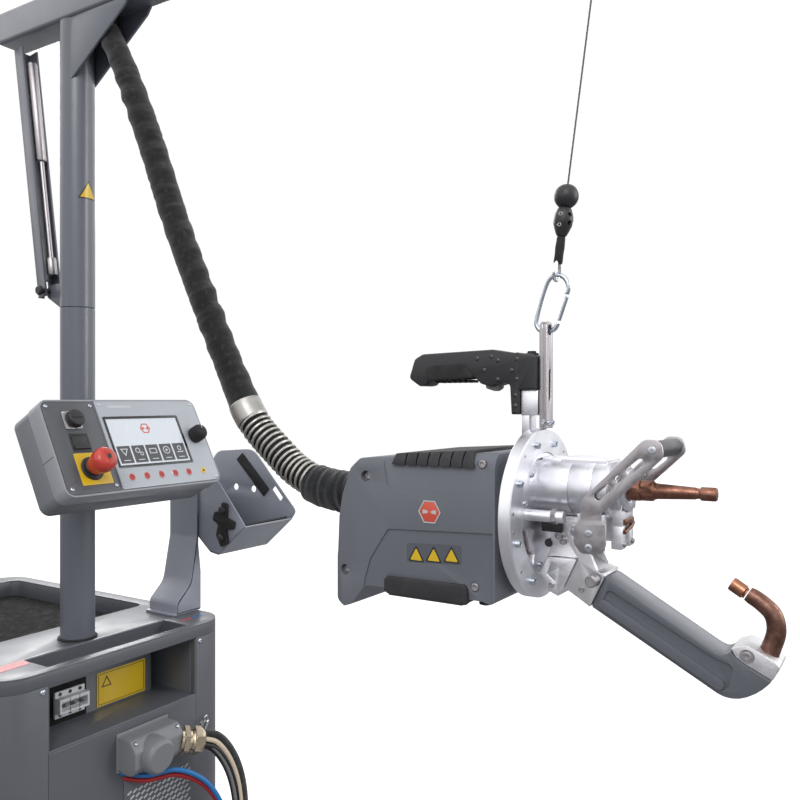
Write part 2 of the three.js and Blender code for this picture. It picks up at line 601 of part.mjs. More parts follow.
function buildHousing() {
  const { halfWidth, wall } = HOUSING;
  const outer = housingBody(0);
  const hollow = housingBody(wall);
  const neck = prismY(circle(0, 0, 56, 24), 20, 40);
  const hosePort = prismY(circle(0, 6, 31.5, 20), 200, 300);
  const lowerRecess = [[178, -24], [31, -18], [31, -110], [216, -110], [214, -92], [205, -64]];
  const labelRecess = [[190, 90], [178, 28], [31, 24], [31, 90]];
  const recesses = [];
  for (const outline of [lowerRecess, labelRecess]) {
    recesses.push(prismX(outline, -halfWidth - 1, -halfWidth + 1.6),
        prismX(outline, halfWidth - 1.6, halfWidth + 1));
  }
  const shell = cut(outer, hollow, neck, hosePort, ...recesses);
  place(gun, "housing_left", shell.intersect(block(-200, -0.15, -100, 400, -300, 300)),
      HOUSING_PLASTIC);
  place(gun, "housing_right", shell.intersect(block(0.15, 200, -100, 400, -300, 300)), HOUSING_PLASTIC);

  // The pad lies on the roof and laps over both shoulders.
  const slope = (77 - 66) / (200 - 28);
  const roof = (y) => 77 - (y - 28) * slope;
  const lap = halfWidth + 3;
  const strip = prismX([[170, 59], [166, roof(166) + 4], [58, roof(58) + 4], [54, 59]], -lap, lap);
  const crown = rounded([[-lap, 20], [lap, 20], [lap, 83], [-lap, 83]], [1, 1, 27, 27]);
  place(gun, "top_pad", cut(strip.intersect(prismY(crown, 0, 300)), outer.scale([1.005, 1, 1.005])),
      BLACK_RUBBER);
  const core = join(block(-58, 58, 70, 170, -70, 45), block(-40, 40, 52, 188, -50, 28));
  place(gun, "transformer", core, COPPER);
  const cuff = [[0, 361, 16.5], [0, 345, 12], [0, 320, 8.5], [0, 290, 7], [0, 246, 6]];
  place(gun, "hose_cuff", bent(cuff, 30, 6, 12), SLEEVE);
}

function buildRing() {
  const { radius, bore, thickness } = RING;
  const ring = turned([[bore, 0], [radius - 1.5, 0], [radius, 1.5], [radius, thickness - 1.5],
      [radius - 1.5, thickness], [bore, thickness], [bore, 0]],
    [0, 0, 0], [0, 1, 0], 36);
  place(gun, "rotary_ring", ring, ALUMINIUM);

  const window = (angle) => {
    const points = [];
    for (let i = 0; i <= 4; i++) points.push([angle - 0.42 + 0.21 * i, 68]);
    for (let i = 4; i >= 0; i--) points.push([angle - 0.36 + 0.18 * i, 57]);
    return prismY(points.map(([a, r]) => [r * Math.sin(a), r * Math.cos(a)]), -5, 20);
  };
  const plate = turned([[0, 1], [bore - 0.6, 1], [bore - 0.6, 15], [54, 15], [54, 44], [0, 44]],
      [0, 0, 0], [0, 1, 0], 30);
  const rods = [-1, 1].map((side) => bar([side * 52, 2, 3], [side * 52, -45, 3], 7, 10));
  const hub = join(cut(plate, window(0.1), window(2.2), window(-2.2)), ...rods);

  const strap = prismY(rounded([[-10, 104.4], [10, 104.4], [10, 236], [-10, 236]], [1, 1, 10, 10]), -6,
      4);
  const hanger = cut(strap, prismY(slot([0, 141], [0, 174], 3), -10, 10),
      prismY(circle(0, 225.5, 6.5, 12), -10, 10));
  place(gun, "hanger_bracket", hanger, STEEL);
  return hub;
}

function buildHandle() {
  const post = join(block(-11, 11, 16.4, 27, 92, 130), block(-12, 12, 5, 27.5, 120, 151));
  place(gun, "handle_post", post, ALUMINIUM);
  const side = [[189, 168], [172, 157], [163, 158.5], [157, 164.5], [126, 165], [90, 168.5], [82, 160],
      [69, 156], [50, 161], [41, 158],
    [39, 121], [28.3, 121], [28.3, 151.4], [5, 151.4], [5, 194], [49, 200], [65, 203], [168, 200],
        [180, 194]];
  const radii = [6, 4, 3, 3, 10, 3, 4, 6, 4, 4, 2, 2, 1, 2, 3, 8, 8, 10, 8];
  const body = cut(
    prismX(rounded(side, radii), -17, 17, 1.4, 2),
    block(-7.6, 7.6, 58, 80, 140, 172),
    bar([0, 18, 184], [0, 18, 210], 6.4, 12),
  );
  place(gun, "handle_body", body, BLACK_PLASTIC);
  place(gun, "trigger", prismX(rounded([[79, 166], [59, 166], [59, 154], [66, 150], [79, 154]], 2),
      -6.8, 6.8, 0, 2), GREY_PLASTIC);
  place(gun, "top_button", bar([0, 18, 188.6], [0, 18, 200.5], 5.6, 12), BLACK_RUBBER);
}

// Obround welding cylinder with its front head and the two cheeks that carry the handle plates.
function buildBarrel(hub) {
  const halfWide = 46;
  const high = 33;
  const right = [];
  const left = [];
  for (let i = 0; i <= 8; i++) {
    const angle = -Math.PI / 2 + (Math.PI * i) / 8;
    right.push([halfWide - high + high * Math.cos(angle), ELECTRODE_Z + high * Math.sin(angle)]);
    left.push([-(halfWide - high) - high * Math.cos(angle), ELECTRODE_Z - high * Math.sin(angle)]);
  }
  const body = prismY([...right, ...left], -92, 2);
  const nose = turned([[0, 0], [31, 0], [31, 10], [26, 15], [0, 15]], [0, -91, ELECTRODE_Z],
      [0, -1, 0], 18);
  const cheek = (x0, x1) => prismX(rounded([[-58, 8], [-58, -34], [-88, -34], [-88, 8]], [1, 8, 8, 1]),
      x0, x1);
  const barrel = cut(
    join(
      hub, body, nose, block(-25, 25, -86, -30, 60, 71.5),
      cheek(-46.9, -31), cheek(31, 46.9),
      block(-22, 22, -103, -88, -8, 20), block(-22, -8, -103, -90, -34, -6),
          block(8, 22, -103, -90, -34, -6),
    ),
    bar([0, -120, ELECTRODE_Z], [0, -60, ELECTRODE_Z], 13.4, 16),
  );
  place(gun, "gun_head", barrel, ALUMINIUM);
}

function buildUpperElectrode() {
  const forward = [0, -1, 0];
  place(gun, "upper_electrode", turned([[0, 0], [12.4, 0], [12.4, 57], [11.6, 58], [11.6, 71],
      [9.2, 74], [6.8, 119], [6, 120],
    [6, 123.3], [0, 123.3]], [0, -62, ELECTRODE_Z], forward, 12), COPPER);
  place(gun, "upper_cap", turned([[0, 0], [CAP_RADIUS, 0], [CAP_RADIUS, 16], [6.6, 17.4], [0, 17.6]],
      [0, -185.7, ELECTRODE_Z],
    forward, 12), COPPER);
}

function buildFrontHandle() {
  const plate = (near, far) => {
    const strip = rounded([[-64, 24], [-136, 95.5], [-155, 95], [-158, 77], [-88, 10], [-89, 2],
        [-92, -2], [-92, -32], [-84, -37],
      [-63, -37], [-55, -26], [-55, -8], [-63, 2]], [14, 12, 12, 12, 3, 3, 3, 6, 6, 10, 10, 10, 4]);
    return cut(
      prismX(strip, near, far, 0, 4),
      prismX(slot([-132, 70], [-120, 60], 4.2), near - 1, far + 1),
      prismX(circle(-107, 50.5, 3.8, 10), near - 1, far + 1),
      prismX(slot([-96, 40], [-84, 29.5], 4.2), near - 1, far + 1),
    );
  };
  place(gun, "front_plate_left", plate(-50.2, -47.2), STEEL);
  place(gun, "front_plate_right", plate(47.2, 50.2), STEEL);
  place(gun, "front_grip", turned([[0, -46.9], [9, -46.9], [9.8, -44], [9.8, 44], [9, 46.9],
      [0, 46.9]], [0, -145, 83.5], [1, 0, 0], 12), BLACK_PLASTIC);
}

// Opening lower arm: everything but the carrier turns about the pivot.
function buildArm() {
  const { y, z } = ARM_PIVOT;
  const tongue = [[-12, 0.5], [-47, 0.5], [y - 11, z + 6], [y - 11, z - 8], [-52, -46], [-34.4, -84],
      [-28, -95], [-16, -90], [-5, -69], [-15, -36]];
  const carrier = cut(
    join(
      prismX(tongue, -18.6, 18.6),
      prismX([[-51, -49], [-34.4, -84], [-28, -95], [-16, -90], [-5, -69], [-14, -49]], -29, 29),
      bar([-27.5, y, z], [27.5, y, z], 5, 12),
    ),
    prismX([[-30, -60], [-24, -78], [-14, -70], [-20, -54]], -40, 40),
  );
  place(gun, "arm_carrier", carrier, ALUMINIUM);

  const blockSide = [[-52.6, -47], [-84, -65], [-66, -103], [-35, -84.3]];
  const ear = rounded([[y + 10, z + 10], [y + 10, z - 12], [-53, -50], [-76, -63], [y - 11, z - 12],
      [y - 11, z + 10]], [9, 3, 1, 1, 3, 9]);
  const armBlock = cut(
    join(prismX(blockSide, -26, 26), prismX(ear, -26, -19.2), prismX(ear, 19.2, 26),
        block(-26, 26, -83.5, -72, -66, -62)),
    bar([-40, y, z], [40, y, z], 5.7, 12),
    bar([-40, -73, -70], [-15, -73, -70], 4.6, 12),
  );
  place(gun, "arm_block", armBlock, ALUMINIUM);
  place(gun, "arm_release_pin", join(bar([-38, -73, -70], [-16, -73, -70], 3.9, 12),
      bar([-44, -73, -70], [-27, -73, -70], 7.5, 12)), STEEL);

  const arm = [[-84.5, -65.4], [-204, -133.5], [-213, -136.5], [-221.2, -130.4], [-226, -136.6],
      [-233.5, -141.4], [-262.4, -155.4],
    [-259, -160.2], [-253.2, -166.4], [-246, -172.4], [-237.5, -177.6], [-229.5, -180.8],
        [-221.4, -182], [-214.5, -181.4],
    [-207.8, -179.2], [-66.4, -103.4]];
  const groove = [[-87, -80], [-206, -141], [-225, -146], [-219, -172], [-211, -175], [-77, -102.5]];
  const troughEnds = [[-84, -98], [-210, -166.5]];
  const arms = cut(
    prismX(arm, -23, 23, 1.5, 2),
    prismX(groove, -30, -20.5),
    prismX(groove, 20.5, 30),
    prismX(slot(...troughEnds, 5.5), -30, -16),
    prismX(slot(...troughEnds, 5.5), 16, 30),
  );
  place(gun, "lower_arm", arms, ARM_PAINT);
  const clampSide = rounded([[-222, -127.2], [-226.4, -136], [-233.8, -140.9], [-262.9, -154.9],
      [-272, -138.5], [-237, -120.8]],
    [1, 1, 1, 2, 5, 8]);
  const clamp = cut(
    prismX(clampSide, -24, 24, 0, 2),
    bar([0, -251.3, -146], [0, -262.2, -116], 11, 14),
    block(-0.8, 0.8, -280, -256, -160, -100),
  );
  place(gun, "arm_clamp", clamp, ALUMINIUM);
  const elbow = [[0, -253.2, -141], [0, -257.5, -129], [0, -263.3, -108], [0, -260, -91],
      [0, -248.6, -79.8], [0, -235, -71.6]];
  place(gun, "lower_electrode", bent(elbow, 9.6, 10, 10), COPPER);
  place(gun, "lower_cap", turned([[0, 0], [CAP_RADIUS, 0], [CAP_RADIUS, 17], [6.6, 18.4], [0, 18.6]],
      [0, -233.4, -71.8],
    [0, 0.848, 0.53], 12), COPPER);
}

// ---------------------------------------------------------------- assembly
buildChassis();
buildRearWheel("rear_wheel_left", -1);
buildRearWheel("rear_wheel_right", 1);
buildCaster(-1);
buildCaster(1);
buildTop();
buildFront();
buildInside();
buildBreaker();
buildPlug();
buildMast();
buildStrut();
buildSuspension();
buildHose();
buildHolder();
buildPanel();
buildBracket();
buildHousing();
buildHandle();
buildBarrel(buildRing());
buildUpperElectrode();
buildFrontHandle();
buildArm();

export default machine;
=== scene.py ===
"""Looks for a mobile spot welding station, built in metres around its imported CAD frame."""
import json
import math
import random

import bmesh
import bpy
from mathutils import Matrix, Vector


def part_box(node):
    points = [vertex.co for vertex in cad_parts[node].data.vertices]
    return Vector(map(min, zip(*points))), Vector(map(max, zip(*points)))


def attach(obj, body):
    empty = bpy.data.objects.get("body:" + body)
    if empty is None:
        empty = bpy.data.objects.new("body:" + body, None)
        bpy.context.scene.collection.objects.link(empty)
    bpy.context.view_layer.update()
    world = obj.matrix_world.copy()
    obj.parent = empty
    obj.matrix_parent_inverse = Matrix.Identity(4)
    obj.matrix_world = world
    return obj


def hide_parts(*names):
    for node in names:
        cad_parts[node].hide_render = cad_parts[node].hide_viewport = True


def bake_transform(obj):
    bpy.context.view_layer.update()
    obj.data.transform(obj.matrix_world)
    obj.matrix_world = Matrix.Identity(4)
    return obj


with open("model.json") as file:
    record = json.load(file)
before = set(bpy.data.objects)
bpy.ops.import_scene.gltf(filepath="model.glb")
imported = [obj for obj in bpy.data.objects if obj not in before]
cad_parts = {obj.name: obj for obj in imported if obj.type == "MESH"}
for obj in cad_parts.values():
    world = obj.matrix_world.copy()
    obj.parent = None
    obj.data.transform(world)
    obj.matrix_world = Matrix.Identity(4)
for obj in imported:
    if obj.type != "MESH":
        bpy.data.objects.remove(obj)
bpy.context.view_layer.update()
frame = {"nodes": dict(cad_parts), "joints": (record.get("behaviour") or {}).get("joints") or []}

# Shapes below are given in millimetres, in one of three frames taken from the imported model.
MM = 0.001
KNOB_BELOW_TOP = 78            # the encoder knob's distance below the panel's top edge


def joint(name):
    return next(j for j in frame["joints"] if j["name"] == name)


def mast_matrix():
    """Origin on the floor under the mast; the cart's front, the boom and the gun point along -Y."""
    x, y, _ = joint("boom_swivel")["pos_m"]
    return Matrix.Translation((x, y, 0)) @ Matrix.Scale(MM, 4)


def gun_matrix():
    """Origin at the centre of the rotary ring's front face; the nose points along -Y."""
    low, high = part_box("rotary_ring")
    return Matrix.Translation(((low.x + high.x) / 2, low.y, (low.z + high.z) / 2)) @ Matrix.Scale(MM, 4)


def panel_matrix():
    """Origin at the middle of the face's top edge, +Z up the tilted face and -Y out of it."""
    outward = Vector(joint("encoder_turn")["axis"]).normalized()
    knob = Vector(joint("encoder_turn")["pos_m"])
    low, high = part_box("panel_bezel")
    up = Vector((1, 0, 0)).cross(-outward)
    turn = Matrix((Vector((1, 0, 0)), -outward, up)).transposed().to_4x4()
    middle = Vector(((low.x + high.x) / 2, knob.y, knob.z))
    return Matrix.Translation(middle + up * KNOB_BELOW_TOP * MM) @ turn @ Matrix.Scale(MM, 4)


ROW = mast_matrix()
GUN = gun_matrix()
PANEL = panel_matrix()


def at(place, x, y, z):
    """A point of one of those frames, in metres in the row's frame."""
    return place @ Vector((x, y, z))

# ---------------------------------------------------------------- outlines


def rounded(points, radius, steps=6):
    """Closed outline with every corner turned into an arc; radius is one number or one per corner."""
    outline = []
    count = len(points)
    for i, corner in enumerate(points):
        here = Vector(corner)
        before = Vector(points[i - 1]) - here
        after = Vector(points[(i + 1) % count]) - here
        wanted = radius[i] if isinstance(radius, (list, tuple)) else radius
        half = before.angle(after) / 2
        if wanted <= 0 or half > math.radians(89):
            outline.append(tuple(here))
            continue
        reach = min(wanted / math.tan(half), before.length * 0.49, after.length * 0.49)
        size = reach * math.tan(half)
        centre = here + (before.normalized() + after.normalized()).normalized() * (size / math.sin(half))
        start = here + before.normalized() * reach - centre
        sweep_angle = (after.normalized() * reach + here - centre).angle_signed(start)
        for k in range(steps + 1):
            turn = Matrix.Rotation(sweep_angle * k / steps, 2)
            outline.append(tuple(centre + turn @ start))
    return outline


def rectangle(x0, x1, y0, y1):
    return [(x0, y0), (x1, y0), (x1, y1), (x0, y1)]


def circle(x, y, radius, count=32):
    turn = math.tau / count
    return [(x + radius * math.cos(turn * i), y + radius * math.sin(turn * i)) for i in range(count)]


def slot(start, end, radius, steps=8):
    (x0, y0), (x1, y1) = start, end
    along = math.atan2(y1 - y0, x1 - x0)
    points = []
    for x, y, first in ((x1, y1, along - math.pi / 2), (x0, y0, along + math.pi / 2)):
        for i in range(steps + 1):
            angle = first + math.pi * i / steps
            points.append((x + radius * math.cos(angle), y + radius * math.sin(angle)))
    return points


# ---------------------------------------------------------------- solids


def tidy(bm):
    bmesh.ops.remove_doubles(bm, verts=bm.verts, dist=1e-4)
    bmesh.ops.recalc_face_normals(bm, faces=bm.faces)
    return bm


def merge(*parts):
    """Several solids in one mesh."""
    whole = bmesh.new()
    for part in parts:
        holder = bpy.data.meshes.new("part")
        part.to_mesh(holder)
        part.free()
        whole.from_mesh(holder)
        bpy.data.meshes.remove(holder)
    return whole


def moved(bm, x=0, y=0, z=0):
    bmesh.ops.translate(bm, verts=bm.verts, vec=(x, y, z))
    return bm


def soften(bm, width=0.8, segments=2, angle=30):
    """Rounds every edge sharper than the angle."""
    edges = [e for e in bm.edges if len(e.link_faces) == 2 and e.calc_face_angle(0) > math.radians(angle)]
    bmesh.ops.bevel(bm, geom=edges, offset=width, segments=segments, profile=0.5, affect="EDGES",
                    clamp_overlap=True)
    return bm


def brick(x0, x1, y0, y1, z0, z1, bevel=1.0, segments=2):
    bm = bmesh.new()
    size = (abs(x1 - x0), abs(y1 - y0), abs(z1 - z0))
    middle = Vector(((x0 + x1) / 2, (y0 + y1) / 2, (z0 + z1) / 2))
    bmesh.ops.create_cube(bm, size=1, matrix=Matrix.Translation(middle) @ Matrix.Diagonal((*size, 1)))
    if bevel > 0:
        soften(bm, min(bevel, min(size) * 0.4), segments)
    return bm


# Maps a slab's (u, v, depth) to the axes, so that its outline reads (x, y), (x, z) or (y, z).
AXES = {
    "z": Matrix.Identity(4),
    "y": Matrix(((1, 0, 0, 0), (0, 0, 1, 0), (0, 1, 0, 0), (0, 0, 0, 1))),
    "x": Matrix(((0, 0, 1, 0), (1, 0, 0, 0), (0, 1, 0, 0), (0, 0, 0, 1))),
}


def slab(axis, loops, low, high, bevel=0.0):
    """Flat plate: the first loop is its outline and the others are holes."""
    curve = bpy.data.curves.new("outline", "CURVE")
    curve.dimensions = "2D"
    curve.fill_mode = "BOTH"
    curve.extrude = (high - low) / 2 - bevel
    curve.bevel_depth = bevel
    curve.bevel_resolution = 1
    curve.offset = -bevel
    for loop in loops:
        spline = curve.splines.new("POLY")
        spline.points.add(len(loop) - 1)
        for point, (u, v) in zip(spline.points, loop):
            point.co = (u, v, 0, 1)
        spline.use_cyclic_u = True
    holder = bpy.data.objects.new("outline", curve)
    mesh = bpy.data.meshes.new_from_object(holder)
    bm = bmesh.new()
    bm.from_mesh(mesh)
    bpy.data.objects.remove(holder)
    bpy.data.curves.remove(curve)
    bpy.data.meshes.remove(mesh)
    moved(bm, z=(low + high) / 2)
    bm.transform(AXES[axis])
    return tidy(bm)


def lathe(profile, origin=(0, 0, 0), axis=(0, 0, 1), sides=48, closed=False):
    """Turned solid. A profile entry is (radius, height), or (radius, height, shape) where shape scales the
    radius by the angle; closed joins the last entry to the first, as in a tube."""
    bm = bmesh.new()
    turn = Vector((0, 0, 1)).rotation_difference(Vector(axis)).to_matrix()
    rings = []
    for radius, height, *shape in profile:
        ring = []
        for i in range(sides if radius > 0 else 1):
            angle = math.tau * i / sides
            r = radius * (shape[0](angle) if shape else 1)
            ring.append(bm.verts.new(turn @ Vector((r * math.cos(angle), r * math.sin(angle), height))
                                     + Vector(origin)))
        rings.append(ring)
    pairs = list(zip(rings, rings[1:])) + ([(rings[-1], rings[0])] if closed else [])
    for a, b in pairs:
        for i in range(sides):
            j = (i + 1) % sides
            corners = [a[i % len(a)], a[j % len(a)], b[j % len(b)], b[i % len(b)]]
            distinct = list(dict.fromkeys(corners))
            if len(distinct) > 2:
                bm.faces.new(distinct)
    bmesh.ops.recalc_face_normals(bm, faces=bm.faces)
    return bm


def tube(inner, outer, low, high, chamfer=0.8, origin=(0, 0, 0), axis=(0, 0, 1), sides=64):
    profile = [(inner, low), (outer - chamfer, low), (outer, low + chamfer), (outer, high - chamfer),
               (outer - chamfer, high), (inner, high)]
    return lathe(profile, origin, axis, sides, closed=True)


def rod(start, end, radius, chamfer=0.6, sides=32):
    axis = Vector(end) - Vector(start)
    length = axis.length
    profile = [(0, 0), (radius - chamfer, 0), (radius, chamfer), (radius, length - chamfer),
               (radius - chamfer, length), (0, length)]
    return lathe(profile, start, axis, sides)


def smooth_path(points, spacing=4.0):
    """Centripetal curve through the points, sampled about evenly."""
    nodes = [Vector(p) for p in points]
    nodes = [nodes[0] * 2 - nodes[1]] + nodes + [nodes[-1] * 2 - nodes[-2]]
    path = []
    for p0, p1, p2, p3 in zip(nodes, nodes[1:], nodes[2:], nodes[3:]):
        t1 = (p1 - p0).length ** 0.5
        t2 = t1 + (p2 - p1).length ** 0.5
        t3 = t2 + (p3 - p2).length ** 0.5
        steps = max(2, round((p2 - p1).length / spacing))
        for k in range(steps):
            t = t1 + (t2 - t1) * k / steps
            a1 = p0.lerp(p1, t / t1)
            a2 = p1.lerp(p2, (t - t1) / (t2 - t1))
            a3 = p2.lerp(p3, (t - t2) / (t3 - t2))
            b1 = a1.lerp(a2, t / t2)
            b2 = a2.lerp(a3, (t - t1) / (t3 - t1))
            path.append(b1.lerp(b2, (t - t1) / (t2 - t1)))
    path.append(nodes[-2].copy())
    return path


def transported(path):
    """Normal and binormal carried along a path without twist."""
    tangents = [(path[min(i + 1, len(path) - 1)] - path[max(i - 1, 0)]).normalized()
                for i in range(len(path))]
    side = Vector((1, 0, 0)) if abs(tangents[0].x) < 0.9 else Vector((0, 1, 0))
    frames = []
    for tangent in tangents:
        side = (side - tangent * side.dot(tangent)).normalized()
        frames.append((side, tangent.cross(side)))
    return frames


def sweep(path, radius, sides=20, end_bevel=0.0):
    """Round bar along a dense path. radius is a number or a function of (share of the length, angle)."""
    bm = bmesh.new()
    uv = bm.loops.layers.uv.new("UVMap")
    frames = transported(path)
    lengths = [0.0]
    for a, b in zip(path, path[1:]):
        lengths.append(lengths[-1] + (b - a).length)
    rings = []
    for point, (side, other), run in zip(path, frames, lengths):
        ring = []
        for i in range(sides):
            angle = math.tau * i / sides
            r = radius(run / lengths[-1], angle) if callable(radius) else radius
            if end_bevel:
                near_end = min(run, lengths[-1] - run)
                r -= max(0.0, end_bevel - near_end) * 0.5
            ring.append(bm.verts.new(point + (side * math.cos(angle) + other * math.sin(angle)) * r))
        rings.append(ring)
    for k, (a, b) in enumerate(zip(rings, rings[1:])):
        for i in range(sides):
            j = (i + 1) % sides
            face = bm.faces.new((a[i], a[j], b[j], b[i]))
            values = ((i, k), (i + 1, k), (i + 1, k + 1), (i, k + 1))
            for loop, (u, v) in zip(face.loops, values):
                loop[uv].uv = (u / sides, lengths[v] * MM)
    bm.faces.new(list(reversed(rings[0])))
    bm.faces.new(rings[-1])
    bmesh.ops.recalc_face_normals(bm, faces=bm.faces)
    return bm


def helix(path, radius, turns):
    """Path that winds round another path."""
    frames = transported(path)
    count = len(path) - 1
    wound = []
    steps = int(turns * 20)
    for k in range(steps + 1):
        place = k / steps * count
        i = min(int(place), count - 1)
        share = place - i
        centre = path[i].lerp(path[i + 1], share)
        side, other = frames[i]
        angle = math.tau * turns * k / steps
        wound.append(centre + (side * math.cos(angle) + other * math.sin(angle)) * radius)
    return wound


def combine(bm, tool, operation="DIFFERENCE"):
    """Boolean of two solids; both are used up."""
    holders = []
    for part in (bm, tool):
        mesh = bpy.data.meshes.new("solid")
        tidy(part).to_mesh(mesh)
        part.free()
        holder = bpy.data.objects.new("solid", mesh)
        bpy.context.scene.collection.objects.link(holder)
        holders.append(holder)
    cut = holders[0].modifiers.new("cut", "BOOLEAN")
    cut.object = holders[1]
    cut.operation = operation
    cut.solver = "EXACT"
    bpy.context.view_layer.update()
    depsgraph = bpy.context.evaluated_depsgraph_get()
    mesh = bpy.data.meshes.new_from_object(holders[0].evaluated_get(depsgraph))
    result = bmesh.new()
    result.from_mesh(mesh)
    bpy.data.meshes.remove(mesh)
    for holder in holders:
        data = holder.data
        bpy.data.objects.remove(holder)
        bpy.data.meshes.remove(data)
    bmesh.ops.dissolve_limit(result, angle_limit=math.radians(0.3), verts=result.verts, edges=result.edges)
    return tidy(result)


def from_cad(node, width=0.8, segments=2, angle=30, place=ROW):
    """A CAD node's solid in one of the frames above, with its flat faces made whole and its edges rounded."""
    bm = bmesh.new()
    bm.from_mesh(frame["nodes"][node].data)
    bm.transform(place.inverted())
    bmesh.ops.remove_doubles(bm, verts=bm.verts, dist=0.01)
    bmesh.ops.dissolve_limit(bm, angle_limit=math.radians(0.4), verts=bm.verts, edges=bm.edges)
    bmesh.ops.recalc_face_normals(bm, faces=bm.faces)
    if width > 0:
        soften(bm, width, segments, angle)
    return bm


# ---------------------------------------------------------------- pieces


def piece(name, bm, material, body, place=ROW, replaces=(), smooth=35, across=None):
    """Turns a solid into a named piece that rides on a body; given across, it stays where it is on no body,
    and the bodies and points in across are not used.
    """
    bmesh.ops.recalc_face_normals(bm, faces=bm.faces)
    bm.transform(place)
    mesh = bpy.data.meshes.new(name)
    bm.to_mesh(mesh)
    bm.free()
    mesh.shade_smooth()
    mesh.set_sharp_from_angle(angle=math.radians(smooth))
    mesh.materials.append(material)
    obj = bpy.data.objects.new(name, mesh)
    bpy.context.scene.collection.objects.link(obj)
    if across:
        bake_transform(obj)
    else:
        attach(obj, body)
    if replaces:
        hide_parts(*replaces)


def hexagon(angle):
    """Shape of a hexagon across its flats, for a socket."""
    sector = math.pi / 3
    return 1 / math.cos((angle + sector / 2) % sector - sector / 2)


def socket_screw(at, out, radius=4.0, height=4.0):
    """Cap screw head with a hexagon socket."""
    socket = radius * 0.52
    profile = [(0, -1), (radius, -1), (radius, height - 0.5), (radius - 0.5, height), (socket + 0.4, height),
               (socket, height - 0.4, hexagon), (socket, height * 0.35, hexagon), (0, height * 0.25)]
    return lathe(profile, at, out, 24)


def dome_screw(at, out, radius=4.5, height=2.4):
    """Low domed head with a small hexagon socket."""
    socket = radius * 0.36
    profile = [(0, -1), (radius, -1), (radius, 0.4), (radius * 0.9, height * 0.6),
               (radius * 0.62, height * 0.95), (socket + 0.3, height), (socket, height - 0.3, hexagon),
               (socket, height * 0.4, hexagon), (0, height * 0.3)]
    return lathe(profile, at, out, 24)


def side_plate(side, loops, inner, outer, bevel=0.0):
    """Flat plate on the left (side -1) or right (side 1), between two distances from the middle."""
    return slab("x", loops, *sorted((side * inner, side * outer)), bevel)


def spread(radius, degrees):
    """Points at these angles from straight up, as seen from the front."""
    return [(radius * math.sin(math.radians(a)), radius * math.cos(math.radians(a))) for a in degrees]


# ---------------------------------------------------------------- finishes


def linear(rgb):
    """Linear colour from 0-255 display values."""
    values = [c / 255 for c in rgb]
    return tuple(c / 12.92 if c <= 0.04045 else ((c + 0.055) / 1.055) ** 2.4 for c in values) + (1.0,)


